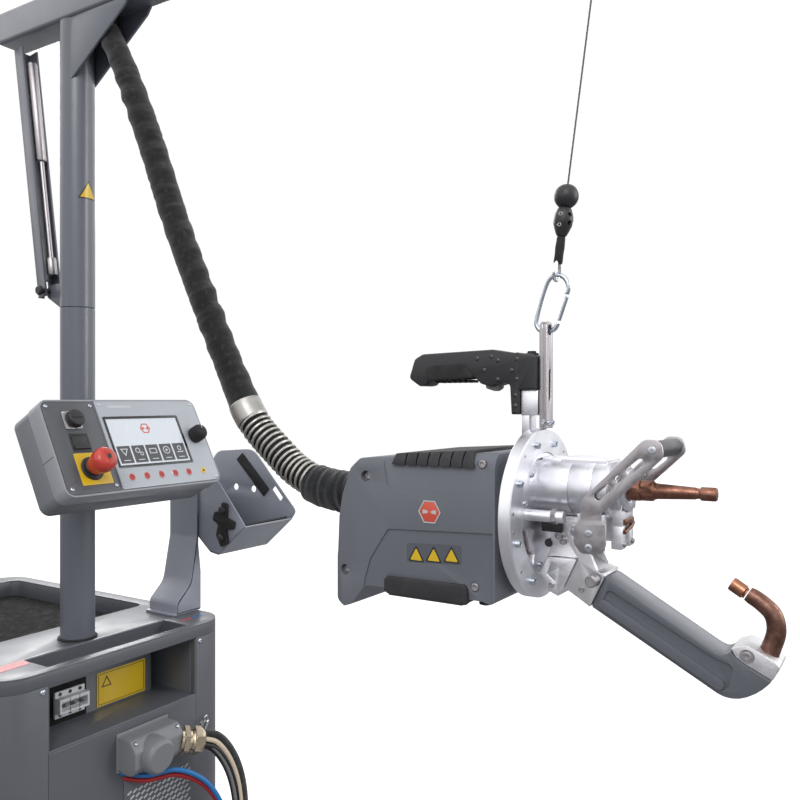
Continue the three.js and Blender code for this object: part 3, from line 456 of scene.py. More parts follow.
class Finish:
    """Procedural material built step by step; colour, roughness and height each have a running socket."""

    def __init__(self, name, rgb, roughness, metallic=0.0, **extra):
        self.material = bpy.data.materials.new(name)
        self.material.use_nodes = True
        self.nodes = self.material.node_tree.nodes
        self.links = self.material.node_tree.links
        self.shader = self.nodes["Principled BSDF"]
        self.shader.inputs["Metallic"].default_value = metallic
        for socket, value in extra.items():
            self.shader.inputs[socket.replace("_", " ")].default_value = value
        self.place = self.add("ShaderNodeTexCoord").outputs["Object"]
        self.colour = self.add("ShaderNodeRGB").outputs[0]
        self.colour.default_value = linear(rgb)
        self.roughness = self.add("ShaderNodeValue").outputs[0]
        self.roughness.default_value = roughness
        self.normal = None

    def add(self, kind, **settings):
        node = self.nodes.new(kind)
        for key, value in settings.items():
            setattr(node, key, value)
        return node

    def plug(self, sockets, values):
        """Links a node's output to each socket, or sets the socket to a fixed value."""
        for socket, value in zip(sockets, values):
            if isinstance(value, bpy.types.NodeSocket):
                self.links.new(value, socket)
            else:
                socket.default_value = value

    def feed(self, node, **values):
        self.plug([node.inputs[key.replace("_", " ")] for key in values], values.values())
        return node

    def math(self, operation, a, b=0.0, clamp=False):
        node = self.add("ShaderNodeMath", operation=operation, use_clamp=clamp)
        self.plug(node.inputs, (a, b))
        return node.outputs[0]

    def vector(self, operation, *values):
        node = self.add("ShaderNodeVectorMath", operation=operation)
        self.plug(node.inputs, values)
        return node.outputs

    def noise(self, scale, detail=3.0, place=None, roughness=0.5):
        node = self.add("ShaderNodeTexNoise")
        self.feed(node, Vector=place or self.place, Scale=scale, Detail=detail, Roughness=roughness)
        return node.outputs["Fac"]

    def stretched(self, factors):
        return self.vector("MULTIPLY", self.place, factors)[0]

    def ranged(self, value, low, high, first=0.3, last=0.7):
        node = self.add("ShaderNodeMapRange")
        self.feed(node, Value=value, From_Min=first, From_Max=last, To_Min=low, To_Max=high)
        return node.outputs[0]

    def tint(self, share, rgb):
        node = self.add("ShaderNodeMix", data_type="RGBA")
        self.plug((node.inputs[0], node.inputs[6], node.inputs[7]), (share, self.colour, linear(rgb)))
        self.colour = node.outputs[2]
        return self

    def shade(self, value, low, high):
        """Multiplies the colour by a value that runs between low and high."""
        node = self.add("ShaderNodeVectorMath", operation="SCALE")
        self.links.new(self.colour, node.inputs[0])
        self.links.new(self.ranged(value, low, high), node.inputs["Scale"])
        self.colour = node.outputs[0]
        return self

    def rough(self, value, low, high):
        self.roughness = self.math("MULTIPLY", self.roughness, self.ranged(value, low, high))
        return self

    def bump(self, height, depth, strength=1.0):
        """Raises the surface by depth metres where height goes from 0 to 1."""
        node = self.add("ShaderNodeBump")
        self.feed(node, Height=height, Distance=depth, Strength=strength)
        if self.normal:
            self.links.new(self.normal, node.inputs["Normal"])
        self.normal = node.outputs[0]
        return self

    def mottled(self, scale=7.0, low=0.93, high=1.07):
        value = self.noise(scale, 4)
        self.shade(value, low, high)
        return self.rough(self.noise(scale * 5, 4), 0.86, 1.14)

    def grained(self, scale=1500.0, depth=0.00006):
        """Fine moulded or powder-coated texture."""
        return self.bump(self.noise(scale, 2), depth)

    def worn(self, rgb, share=0.3, radius=0.0012):
        """Lighter, slightly rubbed edges."""
        bevel = self.add("ShaderNodeBevel", samples=3)
        bevel.inputs["Radius"].default_value = radius
        flat = self.add("ShaderNodeNewGeometry").outputs["Normal"]
        dot = self.vector("DOT_PRODUCT", bevel.outputs[0], flat)["Value"]
        edge = self.ranged(dot, 1.0, 0.0, 0.90, 0.995)
        patchy = self.ranged(self.noise(60, 4), 0.3, 1.0)
        return self.tint(self.math("MULTIPLY", self.math("MULTIPLY", edge, patchy), share), rgb)

    def brushed(self, factors, depth=0.00001, low=0.75, high=1.3):
        """Fine parallel scratches; the smallest factor is along them."""
        value = self.noise(1.0, 3, self.stretched(factors), 0.65)
        self.rough(value, low, high)
        self.shade(value, 0.92, 1.08)
        return self.bump(value, depth)

    def turned(self, centre, axis, per_metre=1800.0, depth=0.000012, low=0.8, high=1.25):
        """Fine rings round an axis, left by a lathe."""
        axis = Vector(axis).normalized()
        offset = self.vector("SUBTRACT", self.place, centre)[0]
        along = self.vector("DOT_PRODUCT", offset, axis)["Value"]
        distance = self.vector("LENGTH", self.vector("CROSS_PRODUCT", offset, axis)[0])["Value"]
        both = self.math("ADD", distance, along)
        rings = self.add("ShaderNodeTexNoise", noise_dimensions="1D")
        self.feed(rings, W=both, Scale=per_metre, Detail=3.0)
        value = rings.outputs["Fac"]
        self.rough(value, low, high)
        self.shade(value, 0.93, 1.06)
        return self.bump(value, depth)

    def woven(self, around, per_metre, depth=0.0005):
        """Plain weave on a swept hose: crossing threads round it and along it."""
        split = self.add("ShaderNodeSeparateXYZ")
        self.links.new(self.add("ShaderNodeTexCoord").outputs["UV"], split.inputs[0])
        first = self.math("SINE", self.math("MULTIPLY", split.outputs[0], math.tau * around))
        second = self.math("SINE", self.math("MULTIPLY", split.outputs[1], math.tau * per_metre))
        cross = self.math("ADD", self.math("MULTIPLY", self.math("MULTIPLY", first, second), 0.5), 0.5)
        self.shade(cross, 0.72, 1.25)
        return self.bump(cross, depth)

    def done(self):
        self.links.new(self.colour, self.shader.inputs["Base Color"])
        self.links.new(self.roughness, self.shader.inputs["Roughness"])
        if self.normal:
            self.links.new(self.normal, self.shader.inputs["Normal"])
        return self.material


def powder_coat(name, rgb, roughness=0.42, gloss=0.25, edge=(150, 152, 156)):
    coat = Finish(name, rgb, roughness, 0.0, Coat_Weight=gloss, Coat_Roughness=0.22)
    return coat.mottled(5, 0.95, 1.05).grained(900, 0.00008).worn(edge, 0.35).done()


def moulded(name, rgb, roughness=0.5, grain=0.00007, edge=(140, 142, 146)):
    plastic = Finish(name, rgb, roughness, 0.0, Specular_IOR_Level=0.45)
    return plastic.mottled(9, 0.95, 1.05).grained(1900, grain).worn(edge, 0.18).done()


BARE_METAL = (245, 245, 248)


def machined(name, rgb, roughness, factors):
    metal = Finish(name, rgb, roughness, 1.0)
    return metal.mottled(20, 0.95, 1.04).brushed(factors).worn(BARE_METAL, 0.5).done()


def turned_metal(name, rgb, roughness, centre, axis):
    metal = Finish(name, rgb, roughness, 1.0)
    return metal.mottled(14, 0.95, 1.04).turned(centre, axis).worn(BARE_METAL, 0.4).done()


def plated(name, rgb, roughness, spots=60, low=0.85, high=1.06, grain=900, depth=0.00002):
    return Finish(name, rgb, roughness, 1.0).mottled(spots, low, high).grained(grain, depth).done()


def copper_alloy(name, centre, axis, rgb=(138, 98, 82), dark=(98, 66, 56)):
    metal = Finish(name, rgb, 0.34, 1.0)
    metal.tint(metal.ranged(metal.noise(55, 6, roughness=0.65), 0.0, 0.75, 0.42, 0.68), dark)
    metal.tint(metal.ranged(metal.noise(160, 3), 0.0, 0.3, 0.5, 0.75), (178, 142, 124))
    return metal.turned(centre, axis, 1400, 0.00002).rough(metal.noise(90, 4), 0.75, 1.5).done()


def rubber(name, rgb, roughness=0.72):
    black = Finish(name, rgb, roughness, 0.0, Specular_IOR_Level=0.35)
    black.tint(black.ranged(black.noise(40, 5), 0.0, 0.22, 0.5, 0.8), (92, 90, 86))
    return black.mottled(18, 0.88, 1.12).grained(1300, 0.00012).worn((88, 88, 90), 0.3).done()


def printed(name, rgb, roughness=0.35):
    """Printed film on a label, a key or a screen."""
    film = Finish(name, rgb, roughness, 0.0, Coat_Weight=0.4, Coat_Roughness=0.12)
    return film.mottled(30, 0.97, 1.03).grained(2500, 0.00001).done()


def glowing(name, rgb, strength):
    """Backlit part of the display."""
    film = Finish(name, rgb, 0.25, 0.0, Coat_Weight=0.6, Coat_Roughness=0.08)
    film.mottled(12, 0.98, 1.02)
    film.shader.inputs["Emission Strength"].default_value = strength
    film.links.new(film.colour, film.shader.inputs["Emission Color"])
    return film.done()


def fabric(name, rgb, around, per_metre, depth=0.0004):
    cloth = Finish(name, rgb, 0.88, 0.0, Sheen_Weight=0.35, Sheen_Roughness=0.5, Specular_IOR_Level=0.2)
    cloth.mottled(26, 0.82, 1.18)
    cloth.tint(cloth.ranged(cloth.noise(110, 4), 0.0, 0.3, 0.55, 0.8), (104, 104, 104))
    return cloth.woven(around, per_metre, depth).done()


GUN_CENTRE = GUN @ Vector((0, 0, 0))
ELECTRODE_CENTRE = GUN @ Vector((0, 0, 34))
ALONG_Y = (0, 1, 0)

CART_GREY = powder_coat("cart_grey", (88, 91, 97))
MAST_GREY = powder_coat("mast_grey", (98, 102, 111), 0.36, 0.35)
HOLDER_GREY = powder_coat("holder_grey", (148, 152, 163), 0.42)
ARM_GREY = powder_coat("arm_grey", (98, 101, 109), 0.4)
PANEL_SIDE = powder_coat("panel_side", (150, 152, 158), 0.38)
PANEL_BACK = powder_coat("panel_back", (112, 115, 120), 0.45)
PANEL_LIGHT = powder_coat("panel_light", (178, 183, 190), 0.36)
PANEL_DARK = powder_coat("panel_dark", (84, 87, 92), 0.45)
HOUSING = moulded("housing_grey", (110, 113, 121), 0.46)
HOUSING_DARK = moulded("housing_recess", (88, 91, 98), 0.52)
NYLON = moulded("black_nylon", (44, 44, 46), 0.42, 0.0001, (96, 96, 98))
GREY_NYLON = moulded("grey_nylon", (128, 130, 133), 0.5)
HOOD_GREY = powder_coat("hood_grey", (122, 124, 127), 0.5, 0.1)
WHITE_PLASTIC = moulded("white_plastic", (222, 224, 226), 0.38, 0.00002, (240, 240, 240))
BLACK_RUBBER = rubber("black_rubber", (36, 36, 37))
PAD_RUBBER = rubber("pad_rubber", (48, 48, 50), 0.6)
TYRE = rubber("tyre_rubber", (34, 34, 36), 0.8)
SIGNAL_RED = (Finish("signal_red", (205, 62, 48), 0.34, 0.0, Coat_Weight=0.3)
              .mottled(12, 0.95, 1.04).grained(1200, 0.00002).done())
KEY_RED = printed("key_red", (190, 52, 46))
YELLOW = printed("label_yellow", (224, 186, 26), 0.4)
INK = printed("label_ink", (34, 34, 34), 0.45)
PALE_LABEL = printed("pale_label", (196, 198, 200), 0.4)
ORANGE = printed("badge_orange", (214, 84, 58), 0.4)
SCREEN = glowing("screen_white", (206, 212, 219), 0.18)
TILE = printed("screen_tile", (70, 72, 74), 0.2)
BEZEL = printed("screen_bezel", (30, 31, 33), 0.22)
ICON = glowing("screen_icon", (190, 194, 198), 0.15)
BLUE_HOSE = moulded("blue_hose", (32, 110, 172), 0.38, 0.00003, (70, 140, 200))
RED_HOSE = moulded("red_hose", (158, 30, 34), 0.38, 0.00003, (190, 70, 70))
BEIGE_CABLE = moulded("beige_cable", (206, 190, 168), 0.45, 0.00003, (220, 210, 190))
BLACK_CABLE = moulded("black_cable", (34, 34, 35), 0.42, 0.00004, (70, 70, 70))
GREY_CABLE = moulded("grey_cable", (120, 120, 120), 0.45, 0.00004, (150, 150, 150))
BRIGHT_FACE = machined("bright_aluminium", (234, 234, 238), 0.38, (18, 900, 900))
MILLED = machined("milled_aluminium", (230, 230, 234), 0.42, (700, 60, 700))
BEAD_BLASTED = machined("blasted_aluminium", (216, 216, 218), 0.5, (900, 900, 900))
RING_METAL = turned_metal("ring_aluminium", (232, 232, 237), 0.4, GUN_CENTRE, ALONG_Y)
BARREL_METAL = turned_metal("barrel_aluminium", (212, 212, 218), 0.36, ELECTRODE_CENTRE, ALONG_Y)
STEEL = machined("brushed_steel", (166, 162, 164), 0.38, (900, 120, 120))
ZINC = plated("zinc_plate", (190, 196, 204), 0.28, 45, 0.86, 1.08, 700)
CHROME = plated("chrome", (225, 226, 228), 0.12, 60, 0.95, 1.03, 500, 0.00001)
NICKEL = plated("nickel_brass", (206, 192, 168), 0.24, high=1.08)
COPPER_UPPER = copper_alloy("copper_upper", ELECTRODE_CENTRE, ALONG_Y)
COPPER_LOWER = copper_alloy("copper_lower", GUN @ Vector((0, -256, -110)), (0, 0.2, 0.98), (124, 92, 80),
                            (90, 64, 56))
COPPER_CAP = copper_alloy("copper_cap", GUN @ Vector((0, -226, -66)), (0, 0.848, 0.53), (160, 112, 88),
                          (112, 74, 58))
COPPER_BAND = copper_alloy("copper_band", GUN_CENTRE, ALONG_Y)
WIRE = plated("wire_rope", (96, 93, 91), 0.55)
DARK_STEEL = plated("dark_screws", (92, 92, 94), 0.4, 60, 0.9, 1.05)
COLLAR_STEEL = turned_metal("collar_steel", (164, 162, 158), 0.42, at(ROW, 0, -430, 1250), (0, -0.62, -0.78))
SPRING_STEEL = plated("spring_steel", (182, 180, 174), 0.36, 50, grain=800)
FLAG_GREEN = moulded("flag_green", (46, 120, 92), 0.4)
TRAY_RUBBER = rubber("tray_rubber", (7, 7, 8), 0.97)
SLEEVE = fabric("hose_sleeve", (32, 32, 32), 44, 380, 0.0004)
CUFF = fabric("cuff_fabric", (31, 32, 34), 50, 340, 0.0005)
# Near-black finish that paints shade: it covers the breaker's cutout, which is only a shadowed gap.
PAINTED_HOLE_SHADE = rubber("painted_hole_shade", (16, 16, 17), 0.9)

# ---------------------------------------------------------------- cart

CART = {"x0": -235, "x1": 259, "y0": -125, "y1": 600, "corner": 62, "floor": 190, "lip": 826, "top": 850}
WALL = 4
SHELF = 720
ALCOVE_Y = -35
REAR_AXLE = (470, 80)
REAR_WHEELS = (("left", -196), ("right", 220))
CASTER_AXLE = (-10, 60)
CASTERS = (("left", -148), ("right", 172))


def cart_outline(margin, corner=CART["corner"]):
    sides = rectangle(CART["x0"] + margin, CART["x1"] - margin, CART["y0"] + margin, CART["y1"] - margin)
    return rounded(sides, corner - margin, 14)


def louvres(x0, x1, z0, z1, y, facing):
    """Rows of slanted raised louvres on a flat sheet."""
    parts = []
    pitch_x, pitch_z = 12.0, 9.5
    rows = int((z1 - z0) / pitch_z)
    columns = int((x1 - x0) / pitch_x)
    for row in range(rows):
        for column in range(columns):
            x = x0 + pitch_x * (column + 0.5 + 0.5 * (row % 2))
            z = z0 + pitch_z * (row + 0.5)
            lozenge = slot((x - 3.2, z - 1.6), (x + 3.2, z + 1.6), 1.5, 3)
            low, high = (y - 1.2, y + 0.5) if facing < 0 else (y - 0.5, y + 1.2)
            parts.append(slab("y", [lozenge], low, high))
    return merge(*parts)


def build_cabinet():
    shell = slab("z", [cart_outline(0), cart_outline(WALL)], CART["floor"] + 0.3, CART["lip"] - 0.3, 0.8)
    opening = brick(-147, 172, CART["y0"] - 5, CART["y0"] + 12, 215, 1000, 0)
    piece("cabinet_shell", combine(shell, opening), CART_GREY, "cart", replaces=["cabinet"])
    screws = []
    for x in (-156, 181):
        for z in (818, 640, 440, 250):
            screws.append(dome_screw((x, CART["y0"], z), (0, -1, 0), 5, 2.6))
    for x in (-170, 194):
        for z in (770, 560, 320):
            screws.append(dome_screw((x, CART["y1"] + 1.5, z), (0, 1, 0), 5, 2.6))
    piece("cabinet_screws", merge(*screws), ZINC, "cart")
    cover = slab("y", [rounded(rectangle(-185, 209, 300, 790), 12)], CART["y1"] - 0.5, CART["y1"] + 1.6, 0.5)
    piece("rear_cover_sheet", cover, CART_GREY, "cart")
    piece("rear_louvres", louvres(-120, 144, 600, 740, CART["y1"] + 1.6, 1), PANEL_BACK, "cart")


def build_top():
    tray = [-205, 229, 90, 545]
    tray_edge = rounded(rectangle(*tray), 22, 8)
    wall_edge = rounded(rectangle(tray[0] - WALL, tray[1] + WALL, tray[2] - WALL, tray[3] + WALL), 26, 8)
    slot_edge = rounded(rectangle(-134, 167, -107, -40), 3, 3)
    mast_hole = circle(0, 0, 31, 48)
    skin = slab("z", [cart_outline(0), tray_edge, slot_edge, mast_hole], CART["top"] - WALL, CART["top"], 1.2)
    rim = slab("z", [cart_outline(0), cart_outline(WALL)], CART["lip"], CART["top"] - WALL + 0.6, 0.5)
    walls = slab("z", [wall_edge, tray_edge], 806, CART["top"] - WALL + 0.6, 0.3)
    floor = slab("z", [wall_edge], 806, 810, 0.3)
    piece("top_plate_sheet", merge(skin, rim, walls, floor), CART_GREY, "cart", replaces=["top_plate"])
    mat_edge = rounded(rectangle(tray[0] + 2, tray[1] - 2, tray[2] + 2, tray[3] - 2), 20, 8)
    mat = [slab("z", [mat_edge], 810.3, 814, 0.6)]
    for i in range(52):
        x = tray[0] + 10 + i * 8.1
        mat.append(brick(x - 1.6, x + 1.6, tray[2] + 8, tray[3] - 8, 813.6, 814.5, 0.35, 1))
    piece("tray_mat", merge(*mat), TRAY_RUBBER, "cart")
    inner_slot = rounded(rectangle(-132.5, 165.5, -105.5, -41.5), 2, 3)
    channel = merge(slab("z", [slot_edge], 826.5, 828.5),
                    slab("z", [slot_edge, inner_slot], 828, CART["top"] - 1.5))
    piece("top_channel", channel, CART_GREY, "cart")
    stripe = slab("z", [[(-214, -69), (-139, -67), (-134, -38), (-214, -40)]], CART["top"], CART["top"] + 0.4)
    piece("top_stripe", stripe, KEY_RED, "cart")
    for i, (x, y, look) in enumerate(((184, -78, KEY_RED), (199, -77, KEY_RED), (215, -76, BLUE_HOSE),
                                      (231, -75, BLUE_HOSE))):
        dot = slab("z", [circle(x, y, 5.5, 24)], CART["top"], CART["top"] + 0.5)
        piece(f"port_marker_{i + 1}", dot, look, "cart")


def build_front():
    piece("front_sheet", from_cad("front_panel", 0.7), CART_GREY, "cart", replaces=["front_panel"])
    face = CART["y0"]
    seam = slab("y", [rounded(rectangle(-146, -2, 222, SHELF - 4), 3, 3)], face - 1.4, face + 0.5, 0.5)
    lower = slab("y", [rounded(rectangle(0.5, 171, 222, 646), 3, 3)], face - 1.4, face + 0.5, 0.5)
    jambs = [brick(x, x + 3.2, face + 0.3, face + 13, SHELF + 0.5, CART["lip"] - 2.5, 0.4, 1)
             for x in (-147.4, 168.2)]
    piece("front_cover_sheets", merge(seam, lower, *jambs), CART_GREY, "cart")
    piece("front_louvres", louvres(6, 160, 340, 604, face - 1.4, -1), PALE_LABEL, "cart")
    plate = slab("y", [rounded(rectangle(14, 124, 723, 785), 2, 3)], ALCOVE_Y - 1.2, ALCOVE_Y - 0.1, 0.3)
    piece("alcove_plate", plate, YELLOW, "cart")
    border = slab("y", [rectangle(17, 121, 726, 782), rectangle(18, 120, 727, 781)], ALCOVE_Y - 1.5,
                  ALCOVE_Y - 1.0)
    triangle = [(24, 757), (46, 757), (35, 777)]
    inner = [(27, 758.8), (43, 758.8), (35, 773)]
    piece("alcove_plate_marks", merge(border, slab("y", [triangle, inner], ALCOVE_Y - 1.5, ALCOVE_Y - 1.0)),
          INK, "cart")


def build_breaker():
    left, right, low, high = -75, -15, 731, 777
    face = ALCOVE_Y - 0.3
    piece("breaker_case", from_cad("breaker_body", 0.7), WHITE_PLASTIC, "cart", replaces=["breaker_body"])
    piece("breaker_keys", from_cad("breaker_lever", 0.5), GREY_NYLON, "breaker_lever",
          replaces=["breaker_lever"])
    flags = [brick(x, x + 5, face - 19.6, face - 18.8, 756.5, 759.5, 0.3, 1)
             for x in (left + 9, left + 27, left + 45)]
    piece("breaker_flags", merge(*flags), FLAG_GREEN, "cart")
    seams = [brick(x, x + 0.8, face - 19.4, face - 18.8, low + 10.5, high - 10.5, 0)
             for x in (left + 20, left + 39)]
    terminals = [lathe([(0, 0), (3.2, 0), (3.2, 0.8), (0, 0.8)], (left + x, face - 5, z), (0, -1, 0), 20)
                 for x in (10, 30, 50) for z in (low + 5, high - 5)]
    piece("breaker_seams", merge(*seams, *terminals), INK, "cart")
    # Flat near-black sheet round the breaker: painted shade in place of the shadowed gap of its cutout.
    frame_edge = rounded(rectangle(left - 7, right + 7, low - 12, high + 10), 2, 3)
    piece("breaker_cutout_painted_shade", slab("y", [frame_edge], ALCOVE_Y - 0.25, ALCOVE_Y + 0.2), PAINTED_HOLE_SHADE, "cart")


def build_plug():
    back = CART["y0"] - 0.3
    side = rounded([(back, 640), (back, 700), (back - 34, 698), (back - 48, 680), (back - 48, 650),
                    (back - 34, 636)], [1, 4, 12, 10, 10, 12])
    hood = slab("x", [side], -14, 96, 3)
    boss = [(0, 0), (31, 0), (31, 34), (29, 39), (25, 42), (0, 42)]
    disc = lathe(boss, (30, -150, 667), (0, -1, -0.12), 64)
    lip = slab("x", [rounded([(back, 636), (back, 704), (back - 4, 704), (back - 4, 636)], 1.5)], -16, 98, 1)
    out = Vector((0.86, -0.46, -0.22))
    mouth = Vector((97.5, -162, 664))
    throat = rod(mouth - out * 6, mouth + out * 60, 14.2)
    hood_screws = [dome_screw((x, back - 40, 698 - 5), (0, -0.6, 0.8), 3.4, 1.8) for x in (-6, 88)]
    body = combine(soften(merge(hood, disc), 0.8, 2, 50), throat)
    piece("plug_hood_shell", merge(body, lip), HOOD_GREY, "cart", replaces=["plug_hood"])
    piece("plug_hood_screws", merge(*hood_screws), ZINC, "cart")
    ring = [(14.2, -2), (20.5, -2), (21, 2), (24.5, 3, hexagon), (24.5, 12, hexagon), (21, 13), (21.5, 16),
            (20.6, 17), (21.5, 18), (20.6, 19), (21.5, 20), (21.8, 22), (24.5, 23, hexagon),
            (24.5, 34, hexagon), (22, 37), (20, 41), (17, 43), (14.2, 43)]
    scale = [(r * (0.92 if shape else 1), h, *shape) for r, h, *shape in ring]
    piece("cable_gland", lathe(scale, mouth, out, 96, closed=True), NICKEL, "cart")
    return mouth, out


def cable(name, points, radius, material, replaces=()):
    piece(name, sweep(smooth_path(points), radius), material, "cart", replaces=replaces)


def build_cables(mouth, out):
    """Cables leave the gland, hang in a loop and return through the grommet in the lower front panel."""
    start = mouth + out * 20
    tail = [(196, -214, 470), (184, -196, 380), (160, -168, 322), (140, -150, 306), (128, -124, 299)]
    bend = [(139, -184, 653), (154, -193, 645), (174, -205, 614), (190, -214, 560)]

    def shifted(points, dx, dy, dz):
        return [(x + dx, y + dy, z + dz) for x, y, z in points]

    strands = (("sleeved_bundle", (9, 4, 4), 12.5, CUFF), ("black_cable_a", (-6, -6, -4), 4.6, BLACK_CABLE),
               ("black_cable_b", (-2, 6, -9), 4.2, BLACK_CABLE),
               ("beige_cable", (-5, -8, 6), 4.4, BEIGE_CABLE),
               ("grey_cable", (-12, -3, -1), 3.6, GREY_CABLE),
               ("black_cable_c", (-9, 4, -8), 3.4, BLACK_CABLE))
    for name, (dx, dy, dz), radius, look in strands:
        side = [start + Vector((dx * 0.25, dy * 0.6, dz * 0.8))]
        path = side + shifted(bend + tail[:3], dx, dy, dz) + shifted(tail[3:], dx * 0.4, 0, dz * 0.7)
        taken = ["cable_loom"] if name == "sleeved_bundle" else ()
        cable(name, path, radius, look, replaces=taken)
    hose = [(-6, -124, 634), (30, -150, 622), (75, -180, 622), (118, -208, 590), (148, -226, 520),
            (152, -222, 440), (134, -190, 360), (110, -150, 318), (96, -124, 306)]
    cable("blue_hose", hose, 4.3, BLUE_HOSE)
    cable("red_hose", [(x + 3, y + 5, z - 11) for x, y, z in hose], 4.3, RED_HOSE)
    grommet = tube(13, 26, -4, 4, 1.5, (124, CART["y0"] - 1.5, 299), (0, -1, 0), 48)
    piece("panel_grommet", grommet, BLACK_RUBBER, "cart")


def build_latch():
    """Toggle latch on the right corner pillar."""
    face = CART["y0"]
    base = slab("y", [rounded(rectangle(181, 196, 618, 662), 3)], face - 2, face + 0.2, 0.5)
    loop = sweep(smooth_path([(184, face - 3, 640), (184, face - 8, 668), (188.5, face - 10, 674),
                              (193, face - 8, 668), (193, face - 3, 640)], 2), 1.3, 12)
    lever = slab("x",
                 [rounded([(face - 2, 628), (face - 2, 650), (face - 12, 666), (face - 15, 664),
                           (face - 7, 646), (face - 6, 628)], 1.4)], 185.5, 191.5, 0.5)
    pin = rod((182, face - 5, 640), (195, face - 5, 640), 1.6, 0.4)
    piece("pillar_latch", merge(base, loop, lever, pin), CHROME, "cart")


def wheel(half_profile, centre, sides):
    """Turned ring about an axle along X, from the right half of its section, outside first."""
    left_half = [(radius, -x) for radius, x in reversed(half_profile)]
    return lathe(left_half + half_profile, centre, (1, 0, 0), sides, closed=True)


def build_wheels():
    piece("base_plate", from_cad("chassis", 0.8), CART_GREY, "cart", replaces=["chassis"])
    for side, x in REAR_WHEELS:
        y, z = REAR_AXLE
        half_tread = [(80, 6), (79, 13), (74, 18), (64, 19), (50, 17)]
        half_rim = [(52, 17), (48, 17), (40, 13), (24, 15), (22, 20), (10.8, 20)]
        bolts = [socket_screw((x + s * 14, y + 31 * math.cos(a), z + 31 * math.sin(a)), (s, 0, 0), 3.6, 3)
                 for s in (-1, 1) for a in (i * math.tau / 5 for i in range(5))]
        body = f"rear_wheel_{side}"
        piece(f"rear_tyre_{side}", wheel(half_tread, (x, y, z), 96), TYRE, body, replaces=[body])
        piece(f"rear_rim_{side}", wheel(half_rim, (x, y, z), 64), GREY_NYLON, body)
        piece(f"rear_rim_bolts_{side}", merge(*bolts), ZINC, body)
    for side, x in CASTERS:
        centre = (x, *CASTER_AXLE)
        half_tread = [(60, 8), (57, 13), (52, 15), (42, 14)]
        half_rim = [(43, 13), (40, 13), (34, 9), (17, 11), (15, 16), (6.8, 16)]
        body = f"caster_wheel_{side}"
        piece(f"caster_tyre_{side}", wheel(half_tread, centre, 80), TYRE, body, replaces=[body])
        piece(f"caster_rim_{side}", wheel(half_rim, centre, 56), GREY_NYLON, body)
        piece(f"caster_fork_steel_{side}", from_cad(f"caster_fork_{side}", 0.7), ZINC, f"caster_{side}",
              replaces=[f"caster_fork_{side}"])
        race = lathe([(20, 0), (34, 0), (36, 4), (34, 9), (20, 9)], (x, -40, 137), (0, 0, 1), 48, closed=True)
        piece(f"caster_race_{side}", race, STEEL, f"caster_{side}")


def build_inside():
    piece("inverter_case", from_cad("inverter_unit", 1.2), BEAD_BLASTED, "cart", replaces=["inverter_unit"])
    piece("coolant_bottle", from_cad("coolant_tank", 1.5), WHITE_PLASTIC, "cart", replaces=["coolant_tank"])


# ---------------------------------------------------------------- mast and boom

MAST_RADIUS = 30.15
SEAM = 1450
BOOM_LOW, BOOM_HIGH = 1968, 2028
BOOM_TIP, BOOM_TAIL = -1060, 200


def build_mast():
    lower = tube(27, MAST_RADIUS, CART["floor"] + 0.3, SEAM, 0.8, sides=96)
    foot = tube(27, 62, CART["floor"] + 0.3, CART["floor"] + 8, 1)
    piece("mast_tube", merge(lower, foot), MAST_GREY, "cart", replaces=["mast_lower"])
    collar = tube(MAST_RADIUS + 0.2, 34.5, CART["top"] + 0.2, CART["top"] + 3.2, 1, sides=96)
    piece("mast_collar", collar, BLACK_RUBBER, "cart")

    upper = tube(27, MAST_RADIUS, SEAM + 0.8, BOOM_LOW + 1, 0.8, sides=96)
    half = (BOOM_HIGH - BOOM_LOW) / 2
    middle = BOOM_LOW + half
    outer = rounded(rectangle(-half, half, middle - half, middle + half), 7)
    inner = rounded(rectangle(-half + 4, half - 4, middle - half + 4, middle + half - 4), 3)
    arm = slab("y", [outer, inner], BOOM_TIP, BOOM_TAIL, 0.5)
    lug = slab("x", [rounded([(27.5, 1452), (45, 1454), (84, 1476), (84, 1494), (68, 1498), (27.5, 1500)],
                             [0, 6, 9, 9, 6, 0])], -5, 5, 0.8)
    ribs = [slab("x",
                 [[(-16, BOOM_LOW - 110), (-16, BOOM_LOW + 1), (-170, BOOM_LOW + 1),
                   (-160, BOOM_LOW - 12)]], x - 2, x + 2, 0.5) for x in (-24, 24)]
    piece("boom_frame", merge(upper, arm, lug, *ribs), MAST_GREY, "boom", replaces=["boom"])
    caps = [slab("y", [rounded(rectangle(-half + 1, half - 1, middle - half + 1, middle + half - 1), 6)],
                 low, low + 3, 1) for low in (BOOM_TIP - 2.5, BOOM_TAIL - 0.5)]
    piece("boom_end_caps", merge(*caps), NYLON, "boom")
    bush = tube(26.4, 28.6, SEAM - 0.2, SEAM + 0.8, 0.1, sides=64)
    piece("mast_swivel_bush", bush, NYLON, "boom")
    saddle = tube(19.2, 26, -18, 0, 2, (0, -74, BOOM_LOW), (0, 0, 1), 48)
    piece("hose_saddle", saddle, BLACK_RUBBER, "boom")


